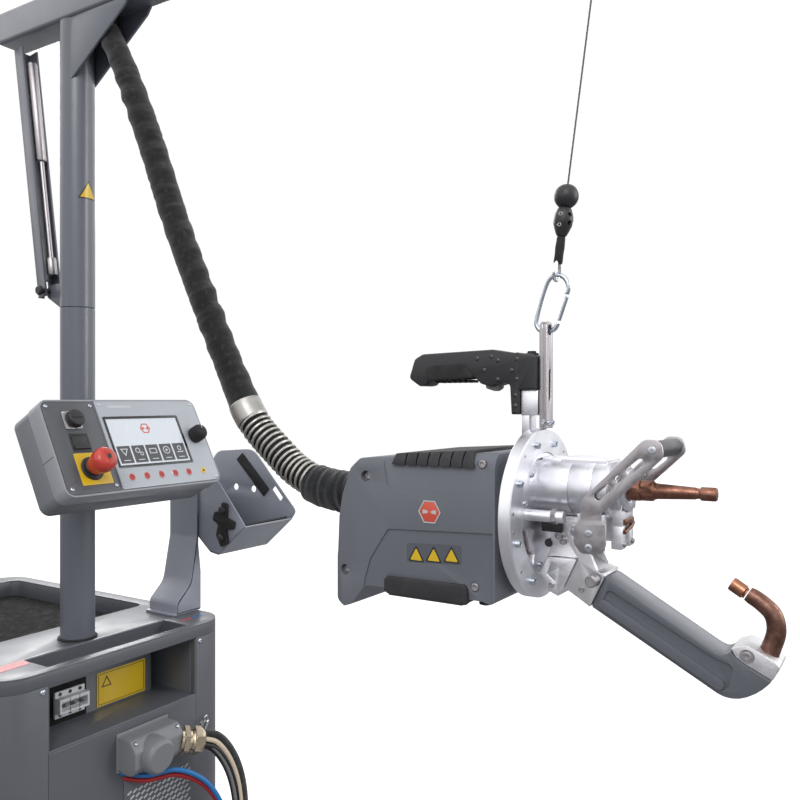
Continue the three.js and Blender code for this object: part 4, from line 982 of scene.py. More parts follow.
def build_mast_sign():
    """Blank triangular sign bent round the upper mast."""
    height, half_base, low = 33, 19, 1646

    def patch(shrink, radius):
        bm = bmesh.new()
        rows, columns = 14, 10
        grid = []
        for i in range(rows + 1):
            share = i / rows
            width = half_base * (1 - share) * shrink
            z = low + height * (1 - shrink) * 0.36 + height * shrink * share
            line = []
            for j in range(columns + 1):
                angle = -math.pi / 2 + (2 * j / columns - 1) * width / radius
                line.append([bm.verts.new((r * math.cos(angle), r * math.sin(angle), z))
                             for r in (radius - 0.4, radius)])
            grid.append(line)
        for i in range(rows):
            for j in range(columns):
                for side in (0, 1):
                    corners = [grid[i][j][side], grid[i][j + 1][side], grid[i + 1][j + 1][side],
                               grid[i + 1][j][side]]
                    bm.faces.new(corners)
        for line in (grid[0], grid[-1]):
            for a, b in zip(line, line[1:]):
                bm.faces.new((a[0], a[1], b[1], b[0]))
        for a, b in zip(grid, grid[1:]):
            for j in (0, -1):
                bm.faces.new((a[j][0], a[j][1], b[j][1], b[j][0]))
        return tidy(bm)

    piece("mast_sign_edge", patch(1.0, MAST_RADIUS + 0.3), INK, "boom")
    piece("mast_sign", patch(0.8, MAST_RADIUS + 0.6), YELLOW, "boom")


def build_strut():
    piece("strut_rail", from_cad("strut_channel", 0.6), ARM_GREY, "boom", replaces=["strut_channel"])
    foot = Vector((0, 76, 1486))
    head = Vector((0, 152, BOOM_LOW))
    lean = (head - foot).normalized()
    out = Vector((0, -lean.z, lean.y))
    base = foot + out * 7
    length = (head - foot).length
    cylinder = lathe([(0, 30), (8, 30), (9.2, 32), (9.2, 60), (8, 63), (4.6, 64), (4.6, 250), (8, 251),
                      (9.6, 254), (9.6, length - 46), (8.6, length - 43), (0, length - 43)], base, lean, 48)
    piece("gas_strut", cylinder, STEEL, "boom", replaces=["gas_spring"])
    knob = lathe([(0, -30), (7, -30), (9, -27), (9, -24), (5, -23), (5, 23), (9, 24), (9, 27), (7, 30),
                  (0, 30)], foot, (1, 0, 0), 40)
    piece("strut_bolt", knob, NYLON, "boom")


def wire_at(z):
    return Vector((0, -930 - (z - 1470) * 0.135, z))


def build_balancer():
    y, z, radius, half = -985, 1878, 70, 32
    drum = lathe([(0, -half), (30, -half), (33, -half + 2), (52, -half + 2), (radius - 12, -half + 5),
                  (radius - 4, -half + 12), (radius, -half + 18), (radius, half - 18),
                  (radius - 4, half - 12), (radius - 12, half - 5), (52, half - 2), (33, half - 2),
                  (30, half), (0, half)], (0, y, z), (1, 0, 0), 96)
    lug = slab("x",
               [rounded([(y - 22, z + radius - 8), (y + 22, z + radius - 8), (y + 18, BOOM_LOW - 0.3),
                         (y - 18, BOOM_LOW - 0.3)], 3)], -8, 8, 1)
    nozzle = tube(4, 14, 0, 18, 2, wire_at(z - radius - 8), (0, -0.135, 1), 40)
    piece("balancer_case", merge(drum, lug, nozzle), ARM_GREY, "boom", replaces=["balancer"])
    ribs = tube(radius - 2, radius + 1.5, -1.5, 1.5, 1, (0, y, z), (1, 0, 0), 96)
    screws = [socket_screw((s * (half - 4), y + 58 * math.cos(a), z + 58 * math.sin(a)), (s, 0, 0), 4, 3)
              for s in (-1, 1) for a in (i * math.tau / 6 for i in range(6))]
    piece("balancer_screws", merge(*screws), ZINC, "boom")
    piece("balancer_rib", ribs, NYLON, "boom")


def build_suspension():
    low, high = wire_at(1546), wire_at(1818)
    path = [low.lerp(high, i / 60) for i in range(61)]
    strands = merge(sweep(helix(path, 0.55, 34), 0.72, 8), sweep(path, 1.1, 14))
    piece("wire_strands", strands, WIRE, None, replaces=["wire_rope"],
          across=("boom", "hook", ROW @ high, ROW @ low))
    lean = (0, -0.135, 1)
    around = [(15 * math.sin(math.pi * i / 24), -15 * math.cos(math.pi * i / 24)) for i in range(1, 24)]
    ball = lathe([(0, -15), *around, (0, 15)], wire_at(1531.5), lean, 64)
    seam = tube(14.2, 15.25, -0.5, 0.5, 0.2, wire_at(1531.5), (1, 0, 0), 64)
    piece("stop_ball", merge(ball, seam), NYLON, "hook", replaces=["wire_end_fitting"])
    shell = lathe([(0, 0), (6, 0), (8, 4), (11.5, 13), (12.2, 19), (11.5, 25), (8.5, 33), (6, 36), (0, 36)],
                  wire_at(1484), lean, 40)
    holes = merge(*[rod(wire_at(1502) + Vector((dx, -20, dz)), wire_at(1502) + Vector((dx, 20, dz)), 2.7)
                    for dx, dz in ((-5, -4), (5, -4), (-5, 6), (5, 6))])
    piece("wire_clamp", combine(shell, holes), NYLON, "hook")
    clamp_bolts = [socket_screw(wire_at(z) + Vector((s * 9.6, 0, 0)), (s, 0, 0), 2.6, 2.2) for s in (-1, 1)
                   for z in (1496, 1509)]
    piece("wire_clamp_bolts", merge(*clamp_bolts), STEEL, "hook")
    sleeve = lathe([(0, 0), (4.6, 0), (5.6, 2), (5.4, 12), (5.8, 20), (5.2, 32), (4.2, 35), (0, 35)],
                   wire_at(1450), lean, 32)
    piece("wire_sleeve", sleeve, BLACK_RUBBER, "hook")
    loop = smooth_path([(x, wire_at(z).y, z) for x, z in ((-2.2, 1455), (-6.5, 1447), (-8.8, 1439),
                                                          (-6, 1432.4), (0, 1430), (6, 1432.4), (8.8, 1439),
                                                          (6.5, 1447), (2.2, 1455))], 1)
    piece("thimble", sweep(loop, 2.1, 16), CHROME, "hook")
    bow = smooth_path([(0, -939, 1412), (0, -941, 1422), (0, -936, 1432.5), (0, -925, 1436.8),
                       (0, -916, 1432), (0, -910, 1420), (0, -900, 1386), (0, -899.5, 1376),
                       (0, -906, 1368.5), (0, -915, 1367.6), (0, -923, 1370.5), (0, -928, 1378)], 1)
    piece("snap_hook_bow", sweep(bow, 2.9, 24, 1.2), ZINC, "hook", replaces=["snap_hook"])
    gate = merge(rod((0, -928.4, 1380.5), (0, -938.6, 1408.8), 2.7, 0.6, 24),
                 rod((-4, -938.6, 1408.8), (4, -938.6, 1408.8), 1.4, 0.3, 16))
    piece("snap_gate", gate, ZINC, "hook_gate", replaces=["snap_hook_gate"])


# ---------------------------------------------------------------- hose


def wrinkled(radius, folds, depth, swell=0.0):
    """Radius of a fabric sleeve with soft, uneven folds round it."""
    rng = random.Random(folds)
    waves = [(rng.uniform(0.6, 1.4) * folds, rng.uniform(0, math.tau), rng.uniform(0.5, 2.5),
              rng.uniform(0, math.tau)) for _ in range(7)]

    def at_place(share, angle):
        total = 0.0
        for rate, phase, lean, turn in waves:
            total += math.sin(share * rate * math.tau + phase + lean * math.sin(angle + turn))
        fold = total / len(waves) * 2.0
        sharp = math.copysign(abs(fold) ** 1.4, fold)
        return radius + depth * sharp + swell * math.sin(math.pi * share)
    return at_place


def build_hose():
    top = BOOM_LOW - 0.3
    route = [(0, -74, top - 3), (0, -75, top - 16), (0, -92, 1925), (0, -132, 1855), (0, -197, 1718),
             (0, -256, 1580), (0, -319, 1450), (0, -377, 1338), (0, -412, 1274)]
    path = smooth_path(route, 2.6)
    split = min(range(len(path)), key=lambda i: abs(path[i].z - 1580))
    folds = wrinkled(0, 15, 1.15)
    creases = wrinkled(0, 64, 0.3)
    total = len(path) - 1

    def radius(share, angle):
        body = 19.2 + 3.0 * min(1, share / 0.3) + 2.6 * max(0, (share - 0.86) / 0.14) ** 2
        return body + folds(share, angle) + creases(share, angle)

    def part_of(first, last):
        share = (last - first) / total
        start = first / total
        return lambda s, angle: radius(start + s * share, angle)

    upper = sweep(path[:split + 1], part_of(0, split), 56)
    lower = sweep(path[split - 1:], part_of(split - 1, total), 56)
    middle = path[split]
    piece("hose_sleeve_upper", upper, SLEEVE, None, replaces=["hose_package"],
          across=("boom", "hook", ROW @ path[6], ROW @ middle), smooth=60)
    piece("hose_sleeve_lower", lower, SLEEVE, None,
          across=("hook", "gun_frame", ROW @ middle, ROW @ path[-1]), smooth=60)
    guard = smooth_path([(0, -410, 1278), (0, -418, 1264.5), (0, -440, 1238), (0, -478, 1206),
                         (0, -512, 1180), (0, -548, 1162.5)], 2)
    count = len(guard)
    collar_end = round(count * 0.2)
    inner = sweep(guard, 20, 32)
    piece("guard_core", inner, BLACK_RUBBER, "gun_frame")
    collar = sweep(guard[:collar_end], 25.6, 56, 1.2)
    piece("guard_collar", collar, COLLAR_STEEL, "gun_frame")
    coil = sweep(helix(guard[collar_end - 2:count - 1], 22.8, 15), 2.5, 10)
    piece("guard_coil", coil, SPRING_STEEL, "gun_frame", replaces=["hose_spring_guard"])
    cuff_path = smooth_path([(0, 365, 18), (0, 361, 16.5), (0, 345, 12), (0, 320, 8.5), (0, 290, 7),
                             (0, 247, 6)], 1.6)
    cuff = sweep(cuff_path, wrinkled(28.6, 9, 1.3, 1.2), 72, 3.5)
    piece("hose_cuff_fabric", cuff, CUFF, None, GUN, replaces=["hose_cuff"], smooth=60,
          across=("gun_frame", "gun_body", at(GUN, 0, 358, 6), at(GUN, 0, 268, 6)))

# ---------------------------------------------------------------- control panel

PANEL_HALF = 165
PANEL_HIGH = 172
STOP_AT = (-105, -126)
PORT_AT = (-112, -38)
SCREEN_BOX = (-52, 108, -128, -36)


def panel_piece(name, bm, material, body="cart", replaces=()):
    piece(name, bm, material, body, PANEL, replaces)


def build_panel():
    edge = rounded(rectangle(-PANEL_HALF, PANEL_HALF, -PANEL_HIGH, 0), 17, 10)
    inner = rounded(rectangle(-PANEL_HALF + 4, PANEL_HALF - 4, -PANEL_HIGH + 4, -4), 13, 10)
    rim = slab("y", [edge, inner], 0, 32, 1.6)
    back_plate = slab("y", [rounded(rectangle(-PANEL_HALF + 2, PANEL_HALF - 2, -PANEL_HIGH + 2, -2), 15, 8),
                            circle(*STOP_AT, 12.5)], 2.2, 5.2, 0.2)
    panel_piece("panel_rim", merge(rim, back_plate), PANEL_SIDE, replaces=["panel_bezel"])
    seams = [brick(-PANEL_HALF - 0.15, -PANEL_HALF + 1, 1.5, 31, z - 0.5, z + 0.5, 0) for z in (-100,)]
    seams += [brick(PANEL_HALF - 1, PANEL_HALF + 0.15, 1.5, 31, z - 0.5, z + 0.5, 0) for z in (-100,)]
    panel_piece("panel_seams", merge(*seams), INK)
    box_edge = rounded(rectangle(-PANEL_HALF + 1.5, PANEL_HALF - 1.5, -PANEL_HIGH + 1.5, -1.5), 16, 10)
    box_inner = rounded(rectangle(-PANEL_HALF + 6, PANEL_HALF - 6, -PANEL_HIGH + 6, -6), 13, 10)
    box = merge(slab("y", [box_edge, box_inner], 32.3, 74, 0.5), slab("y", [box_edge], 72, 77, 2.2))
    panel_piece("panel_back_box", box, PANEL_BACK, replaces=["panel_box"])
    panel_piece("panel_gasket", slab("y", [box_inner, rounded(rectangle(-150, 150, -162, -11), 10)], 31,
                                     33), BLACK_RUBBER)

    dark = rounded([(-160, -167.5), (-61, -167.5), (-61, -4.5), (-160, -4.5)], [12, 2, 2, 12], 8)
    panel_piece("panel_dark_plate", slab("y", [dark, circle(*STOP_AT, 11)], 0.4, 2.4, 0.5), PANEL_DARK)
    light = rounded([(-60, -167.5), (160, -167.5), (160, -4.5), (-60, -4.5)], [2, 12, 12, 2], 8)
    x0, x1, z0, z1 = SCREEN_BOX
    window = rounded(rectangle(x0, x1, z0, z1), 1.5, 3)
    panel_piece("panel_light_plate", slab("y", [light, window], -1.4, 2.4, 0.5), PANEL_LIGHT)
    screws = [dome_screw((x, 0.4, z), (0, -1, 0), 3.6, 1.8) for x in (-152, -69) for z in (-12, -158)]
    screws += [dome_screw((x, -1.4, z), (0, -1, 0), 2.7, 1.4) for x in (-53, 152) for z in (-11, -160)]
    panel_piece("panel_screws", merge(*screws), ZINC)
    build_screen()
    build_controls()
    panel_piece("panel_arm", from_cad("panel_bracket", 1.2, place=PANEL), ARM_GREY,
                replaces=["panel_bracket"])
    bolts = [socket_screw((x, -44, z), (0, -1, 0), 4.5, 4) for x in (-30, 30) for z in (1190, 1216)]
    piece("bracket_bolts", merge(*bolts), ZINC, "cart")


def ring_icon(x, z, outer, inner):
    return [circle(x, z, outer, 24), circle(x, z, inner, 24)]


def build_screen():
    x0, x1, z0, z1 = SCREEN_BOX
    bezel = slab("y", [rounded(rectangle(x0 - 2, x1 + 2, z0 - 2, z1 + 2), 2.5),
                       rectangle(x0 + 2.5, x1 - 2.5, z0 + 2.5, z1 - 2.5)], -2.1, 0.8, 0.3)
    module = slab("y", [rectangle(x0 + 1, x1 - 1, z0 + 1, z1 - 1)], 0.8, 8.8, 0.2)
    panel_piece("screen_bezel", merge(bezel, module), BEZEL,
                replaces=["display"])
    panel_piece("screen_glass", slab("y", [rectangle(x0 + 2.3, x1 - 2.3, z0 + 2.3, z1 - 2.3)], -0.9, 0.9),
                SCREEN)
    left, width, step = x0 + 6.5, 26.5, 30.2
    tiles, icons = [], []
    low, high = z0 + 6, z0 + 38
    for i in range(5):
        x = left + step * i
        tiles.append(slab("y", [rounded(rectangle(x, x + width, low, high), 0.8, 2)], -1.3, -0.8))
        middle, centre = x + width / 2, low + 20
        icons.append(slab("y", [slot((middle - 6, low + 5), (middle + 6, low + 5), 0.8)], -1.6, -1.2))
        shapes = [[[(middle - 8, centre + 7), (middle + 8, centre + 7), (middle, centre - 7)],
                   [(middle - 5, centre + 5.2), (middle + 5, centre + 5.2), (middle, centre - 3.4)]],
                  ring_icon(middle - 2.5, centre + 2.5, 5, 3.4),
                  [rounded(rectangle(middle - 8, middle + 8, centre - 5, centre + 5), 1.5),
                   rounded(rectangle(middle - 6.4, middle + 6.4, centre - 3.4, centre + 3.4), 1)],
                  ring_icon(middle, centre, 7.5, 5.9), ring_icon(middle, centre + 2.5, 4.5, 3),][i]
        icons.append(slab("y", shapes, -1.6, -1.2))
        if i == 1:
            icons.append(slab("y", ring_icon(middle + 4.5, centre - 4, 3.6, 2.2), -1.6, -1.2))
        if i == 3:
            icons.append(slab("y", [circle(middle, centre, 2.4)], -1.6, -1.2))
        if i == 4:
            icons.append(slab("y", [slot((middle - 6, centre - 5), (middle + 6, centre - 5), 1)], -1.6, -1.2))
    panel_piece("screen_tiles", merge(*tiles), TILE)
    panel_piece("screen_icons", merge(*icons), ICON)
    # A plain badge: two facing electrode tips on a hexagonal plate.
    cx, cz = 28, -58
    badge = [slab("y", [circle(cx, cz, 10.5, 6), circle(cx, cz, 8.6, 6)], -1.5, -0.9)]
    for side in (-1, 1):
        tip = [(cx + side * 6.8, cz - 2.4), (cx + side * 6.8, cz + 2.4), (cx + side * 3, cz + 1.6),
               (cx + side * 1.4, cz), (cx + side * 3, cz - 1.6)]
        badge.append(slab("y", [tip], -1.5, -0.9))
    panel_piece("screen_badge", merge(*badge), ORANGE)


def build_controls():
    sx, sz = STOP_AT
    square = slab("y", [rounded(rectangle(sx - 26, sx + 32, sz - 28, sz + 28), 2), circle(sx, sz, 11.5)],
                  -0.6, 0.4, 0.2)
    panel_piece("stop_plate", square, YELLOW)
    base = lathe([(9.4, -0.5), (20.5, -0.5), (20.5, 1.5), (19, 2.5), (19, 5), (12.6, 5.5), (12.2, 22),
                  (9.4, 22)], (sx, 0, sz), (0, -1, 0), 64, closed=True)
    panel_piece("stop_collar", base, NYLON)
    ring = tube(12.4, 15.5, 5.2, 8.4, 0.8, (sx, 0, sz), (0, -1, 0), 64)
    panel_piece("stop_ring", ring, NYLON)
    profile = [(0, -18), (8, -18), (8, 6), (14.5, 8.6), (15.6, 10), (16.4, 15), (17.6, 21), (19.2, 25),
               (20, 28), (20, 37), (19.3, 40.5), (17.2, 43.8), (14, 46), (9.6, 47.6), (5, 48.3),
               (4.6, 47.9), (0, 47.9)]
    panel_piece("stop_head", lathe(profile, (sx, 0, sz), (0, -1, 0), 96), SIGNAL_RED, body="estop",
                replaces=["estop_button"])
    panel_piece("stop_insert", lathe([(0, 47.5), (4.2, 47.5), (4.2, 48.1), (3.8, 48.4), (0, 48.4)],
                                     (sx, 0, sz), (0, -1, 0), 32), INK, body="estop")

    px, pz = PORT_AT
    flange = slab("y",
                  [rounded([(px - 17, pz - 16), (px + 15, pz - 16), (px + 15, pz + 16), (px - 17, pz + 16)],
                           2.5)], -1.4, 0.6, 0.5)
    panel_piece("port_flange", flange, STEEL)
    ridges = lambda a: 1 + 0.025 * math.cos(20 * a)
    port = lathe([(0, -0.5), (15, -0.5), (15.4, 1.6), (15, 2.4), (14.6, 3), (14.6, 9, ridges),
                  (14, 11.5, ridges), (12.6, 12.6), (0, 13)], (px + 2, 0, pz), (0, -1, 0), 120)
    web = brick(px - 8, px + 12, -14.2, -12.4, pz - 1.2, pz + 1.2, 0.5)
    panel_piece("port_cap", merge(port, web), NYLON)
    port_screws = [dome_screw((px + dx, -1.4, pz + dz), (0, -1, 0), 2.2, 1.2)
                   for dx, dz in ((-13.5, 12.5), (12.5, -12.5))]
    panel_piece("port_screws", merge(*port_screws), ZINC)
    panel_piece("switch_flap", from_cad("rocker_switch", 0.7, place=PANEL), NYLON, body="rocker",
                replaces=["rocker_switch"])
    surround = slab("y", [rounded(rectangle(-128, -93, -95.5, -62.5), 2.5), rectangle(-125, -96, -92, -66)],
                    -0.6, 0.5, 0.3)
    panel_piece("switch_surround", surround, NYLON)

    grip = lambda a: 1 + 0.03 * math.cos(18 * a)
    knob = lathe([(0, -14), (3.5, -14), (3.5, 1.8), (12.4, 2), (14.6, 3.4), (15, 6), (14.8, 8, grip),
                  (14.4, 20, grip), (13, 24, grip), (10.5, 26.6), (6, 27.9), (0, 28.1)], (134, 0, -78),
                 (0, -1, 0), 144)
    panel_piece("encoder_cap", knob, BLACK_RUBBER, body="encoder", replaces=["encoder_knob"])
    panel_piece("encoder_mark", brick(133.3, 134.7, -28.5, -27.4, -74, -67, 0.2, 1), PALE_LABEL,
                body="encoder")

    keys, rims, marks = [], [], []
    for i in range(5):
        x = -35 + 31.5 * i
        keys.append(lathe([(0, 1.2), (6.2, 1.2), (6.2, 1.9), (5.6, 2.4), (2, 2.6), (0, 2.6)],
                          (x, 0, -147.5), (0, -1, 0), 40))
        rims.append(tube(6.2, 7.5, 1.2, 2.0, 0.3, (x, 0, -147.5), (0, -1, 0), 40))
        marks.append(slab("y", ring_icon(x, -147.5, 2.8, 2.0), -2.75, -2.4))
    rims.append(tube(5.8, 6.9, 1.2, 1.9, 0.3, (126, 0, -147.5), (0, -1, 0), 40))
    marks.append(slab("y", [[(122.8, -149.8), (129.2, -149.8), (126, -144)]], -2.75, -2.4))
    panel_piece("red_keys", merge(*keys), KEY_RED)
    panel_piece("key_rims", merge(*rims), STEEL)
    panel_piece("key_marks", merge(*marks), INK)
    yellow_key = lathe([(0, 1.2), (5.8, 1.2), (5.8, 1.9), (5.2, 2.4), (0, 2.6)], (126, 0, -147.5),
                       (0, -1, 0), 40)
    panel_piece("yellow_key", yellow_key, YELLOW)
    strip = slab("y", [slot((-34, -15), (12, -15), 2.2)], -1.6, -1.3)
    panel_piece("panel_blank_strip", strip, PALE_LABEL)


# ---------------------------------------------------------------- gun holder

HOLDER_LEFT, HOLDER_RIGHT, SHEET = 260, 401, 3


def build_holder():
    left = HOLDER_LEFT
    foot = slab("z", [rounded(rectangle(190, 266, -41, 41), 4)], CART["top"] + 0.3, CART["top"] + 5, 0.6)
    upright = slab("y",
                   [rounded([(199, 852), (204, 852), (204, 872), (240, 906), (left - 1.5, 1000),
                             (left - 1.5, 1096), (left - 6.5, 1096), (left - 6.5, 1001), (235, 908),
                             (199, 875)], [0, 0, 12, 34, 40, 0, 0, 45, 39, 17])], -41, 38, 0.7)
    side = slab("y",
                [rounded([(201, 852), (265, 852), (265, 930), (left - 1.5, 985), (left - 1.5, 1050),
                          (left - 5, 1050), (left - 5, 1001), (237, 908), (201, 875)],
                         [0, 2, 18, 10, 0, 0, 45, 39, 17])], -41, -37, 0.7)
    rear = slab("y",
                [rounded([(201, 852), (232, 852), (left - 1.5, 960), (left - 1.5, 1050), (left - 5, 1050),
                          (left - 5, 1001), (237, 908), (201, 875)], [0, 2, 8, 0, 0, 45, 39, 17])], 34, 38,
                0.7)
    piece("holder_post", merge(foot, upright, side, rear), HOLDER_GREY, "cart", replaces=["holder_arm"])
    screws = [socket_screw((x, y, CART["top"] + 5), (0, 0, 1), 4.2, 4)
              for x, y in ((248, -30), (248, 28), (226, -30), (226, 28))]
    piece("holder_foot_screws", merge(*screws), ZINC, "cart")

    foot_line = [(-170, 1030), (-97, 968), (-73, 972), (40, 1066)]
    strip = rounded([*foot_line, (38.5, 1069), (-73.5, 975.5), (-96.5, 971.4), (-168.5, 1032.5)],
                    [0, 9, 9, 0, 0, 7, 7, 0])
    left_wall = rounded([(-170, 1031), (-97, 969), (-73, 973), (40, 1067), (40, 1108), (-60, 1111),
                         (-92, 1121)], [4, 9, 9, 10, 10, 20, 8], 8)
    right_wall = rounded([(-170, 1031), (-97, 969), (-73, 973), (40, 1067), (74, 1110), (53, 1168),
                          (-60, 1176), (-182, 1048)], [6, 9, 9, 10, 24, 34, 44, 10], 10)
    window = rounded([(-124, 1098), (-116, 1090), (-138, 1066), (-146, 1074)], 2, 3)
    ports = [circle(-10, 1090, 7), circle(-62, 1088, 7)]
    cradle = merge(slab("x", [strip], left, HOLDER_RIGHT + SHEET, 0.4),
                   slab("x", [left_wall], left, left + SHEET, 0.7),
                   slab("x", [right_wall, window, *ports], HOLDER_RIGHT, HOLDER_RIGHT + SHEET, 0.7))
    piece("holder_bracket", cradle, HOLDER_GREY, "cart", replaces=["holder_cradle"])

    band = slab("x", [rounded([(-31, 1166), (-14, 1151), (-93, 1074), (-109, 1090)], 1.5, 3)],
                HOLDER_RIGHT - 3.2, HOLDER_RIGHT - 0.2, 0.8)
    piece("holder_edge_strip", band, BLACK_RUBBER, "cart")
    lining = slab("x",
                  [rounded([(-166, 1034), (-97, 975), (-74, 978), (36, 1069), (36, 1073), (-75, 982),
                            (-96, 979), (-163, 1037)], 1)], left + 8, HOLDER_RIGHT - 8, 0.6)
    piece("holder_lining", lining, PAD_RUBBER, "cart")
    strap = rounded([(-128, 996), (-110, 986), (-96, 1010), (-102, 1032), (-86, 1040), (-92, 1058),
                     (-108, 1052), (-112, 1078), (-126, 1074), (-124, 1046), (-146, 1040), (-142, 1024),
                     (-122, 1024)], 4, 4)
    piece("holder_strap", slab("x", [strap], left - 8.5, left - 0.2, 2.2), BLACK_RUBBER, "cart")
    knobs = [lathe([(0, 0), (6, 0), (7.5, 2), (7.5, 5), (5, 7.5), (0, 8)], (left - 8.4, y, z), (-1, 0, 0), 32)
             for y, z in ((-116, 1062), (-114, 1006))]
    bolts = [socket_screw((left - 1.4, y, z), (-1, 0, 0), 4.5, 3.2)
             for y, z in ((-20, 1085), (20, 1085), (-20, 1045), (10, 1045))]
    piece("holder_strap_knobs", merge(*knobs), NYLON, "cart")
    piece("holder_bolts", merge(*bolts), ZINC, "cart")


# ---------------------------------------------------------------- gun body

HALF_WIDE = 85
BADGE_AT = (116.4, 1.6)
SHELL_SCREWS = ((212, 41), (45, 63), (245, -83), (55, -84))
WAIST_Y = 200                  # behind it the shell's sides draw in
SIDES = (("left", -1), ("right", 1))
SHOULDER = 24
SIDE_LINE = [(28, 77), (200, 66), (221, 64), (236, 50), (249, 15), (256, -14), (260, -60), (268, -76),
             (268, -120), (246, -131), (235, -127), (213, -100), (46, -100), (34, -103), (28, -96)]
SIDE_RADII = [3, 10, 10, 10, 20, 10, 10, 6, 6, 6, 3, 12, 4, 3, 4]


def gun_piece(name, bm, material, body="gun_body", replaces=(), smooth=35):
    piece(name, bm, material, body, GUN, replaces, smooth=smooth)


def crossed(side, half, shoulder):
    """Side profile crossed with a round-shouldered section and plan."""
    body = slab("x", [side], -half, half)
    section = slab("y",
                   [rounded([(-half, -140), (half, -140), (half, 79), (-half, 79)],
                            [1, 1, shoulder, shoulder], 10)], 0, 300)
    plan = slab("z",
                [rounded([(-half, 0), (half, 0), (half, 269), (-half, 269)], [1, 1, shoulder, shoulder],
                         10)], -200, 200)
    return combine(combine(body, section, "INTERSECT"), plan, "INTERSECT")


def build_housing():
    shell = crossed(rounded(SIDE_LINE, SIDE_RADII, 8), HALF_WIDE, SHOULDER)
    lower = rounded([(178, -24), (31, -18), (31, -110), (216, -110), (214, -92), (205, -64)],
                    [8, 0, 0, 0, 12, 20], 5)
    label = rounded([(190, 90), (178, 28), (31, 24), (31, 90)], [0, 7, 0, 0], 4)
    for outline, depth in ((lower, 2.4), (label, 1.6)):
        for _, side in SIDES:
            shell = combine(shell, side_plate(side, [outline], HALF_WIDE - depth, HALF_WIDE + 2))
    for tool in (rod((0, 20, 0), (0, 40, 0), 56, sides=64), rod((0, 200, 6), (0, 300, 6), 24.5, sides=48)):
        shell = combine(shell, tool)
    for _, side in SIDES:
        for y, z in SHELL_SCREWS:
            x = side * (HALF_WIDE - 5 if y > WAIST_Y else HALF_WIDE)
            shell = combine(shell, rod((x - side * 3.2, y, z), (x + side * 20, y, z), 7.2, sides=32))
    shell = soften(shell, 1.2, 3, 32)
    mirror = shell.copy()
    left = combine(shell, brick(-200, -0.25, -100, 400, -300, 300, 0), "INTERSECT")
    right = combine(mirror, brick(0.25, 200, -100, 400, -300, 300, 0), "INTERSECT")
    gun_piece("gun_shell_left", left, HOUSING, replaces=["housing_left"])
    gun_piece("gun_shell_right", right, HOUSING, replaces=["housing_right"])
    screws = []
    for _, side in SIDES:
        for y, z in SHELL_SCREWS:
            depth = 8.5 if y > WAIST_Y else 3.4
            screws.append(socket_screw((side * (HALF_WIDE - depth), y, z), (side, 0, 0), 4.6, 2.6))
    gun_piece("shell_screws", merge(*screws), STEEL)
    gun_piece("transformer_core", from_cad("transformer", 1.0, place=GUN), COPPER_BAND,
              replaces=["transformer"])
    build_pads()
    for word, side in SIDES:
        backing = rounded([(151, -64), (73, -60), (73, -36), (151, -39.5)], 2, 3)
        plate = side_plate(side, [backing], HALF_WIDE - 2.8, HALF_WIDE - 2.35)
        gun_piece(f"shell_sign_backing_{word}", plate, HOUSING_DARK)
        signs, edges = [], []
        for y, low in ((137, -62), (112, -60.5), (87, -58.5)):
            outer = rounded([(y - 12, low), (y + 12, low), (y, low + 21)], 1.5, 3)
            inner = rounded([(y - 8.8, low + 1.8), (y + 8.8, low + 1.8), (y, low + 17.2)], 1, 3)
            edges.append(side_plate(side, [outer, inner], HALF_WIDE - 2.5, HALF_WIDE - 2.1))
            signs.append(side_plate(side, [inner], HALF_WIDE - 2.5, HALF_WIDE - 2.1))
        gun_piece(f"shell_signs_{word}", merge(*signs), YELLOW)
        gun_piece(f"shell_sign_edges_{word}", merge(*edges), INK)
        badge = side_plate(side, [circle(*BADGE_AT, 14, 6)], HALF_WIDE - 0.2, HALF_WIDE + 0.5, 0.2)
        gun_piece(f"shell_badge_{word}", badge, ORANGE)
        y, z = BADGE_AT
        near, far = HALF_WIDE + 0.3, HALF_WIDE + 0.8
        tips = [side_plate(side, [circle(y, z, 16, 6), circle(y, z, 14.2, 6)], near, far, 0.15)]
        for turn in (-1, 1):
            tip = [(y + turn * 9.5, z - 2.6), (y + turn * 9.5, z + 2.6), (y + turn * 4, z + 2),
                   (y + turn * 1.6, z), (y + turn * 4, z - 2)]
            tips.append(side_plate(side, [tip], near, far))
        gun_piece(f"shell_badge_tips_{word}", merge(*tips), PALE_LABEL)


def scalloped(start, end, base, depth, count, steps=6):
    """Wavy line from start to end: base plus a bump of the given depth for each of count ribs."""
    points = []
    for i in range(count * steps + 1):
        share = i / (count * steps)
        bump = abs(math.sin(math.pi * share * count)) ** 0.55
        points.append((start + (end - start) * share, base + depth * bump))
    return points


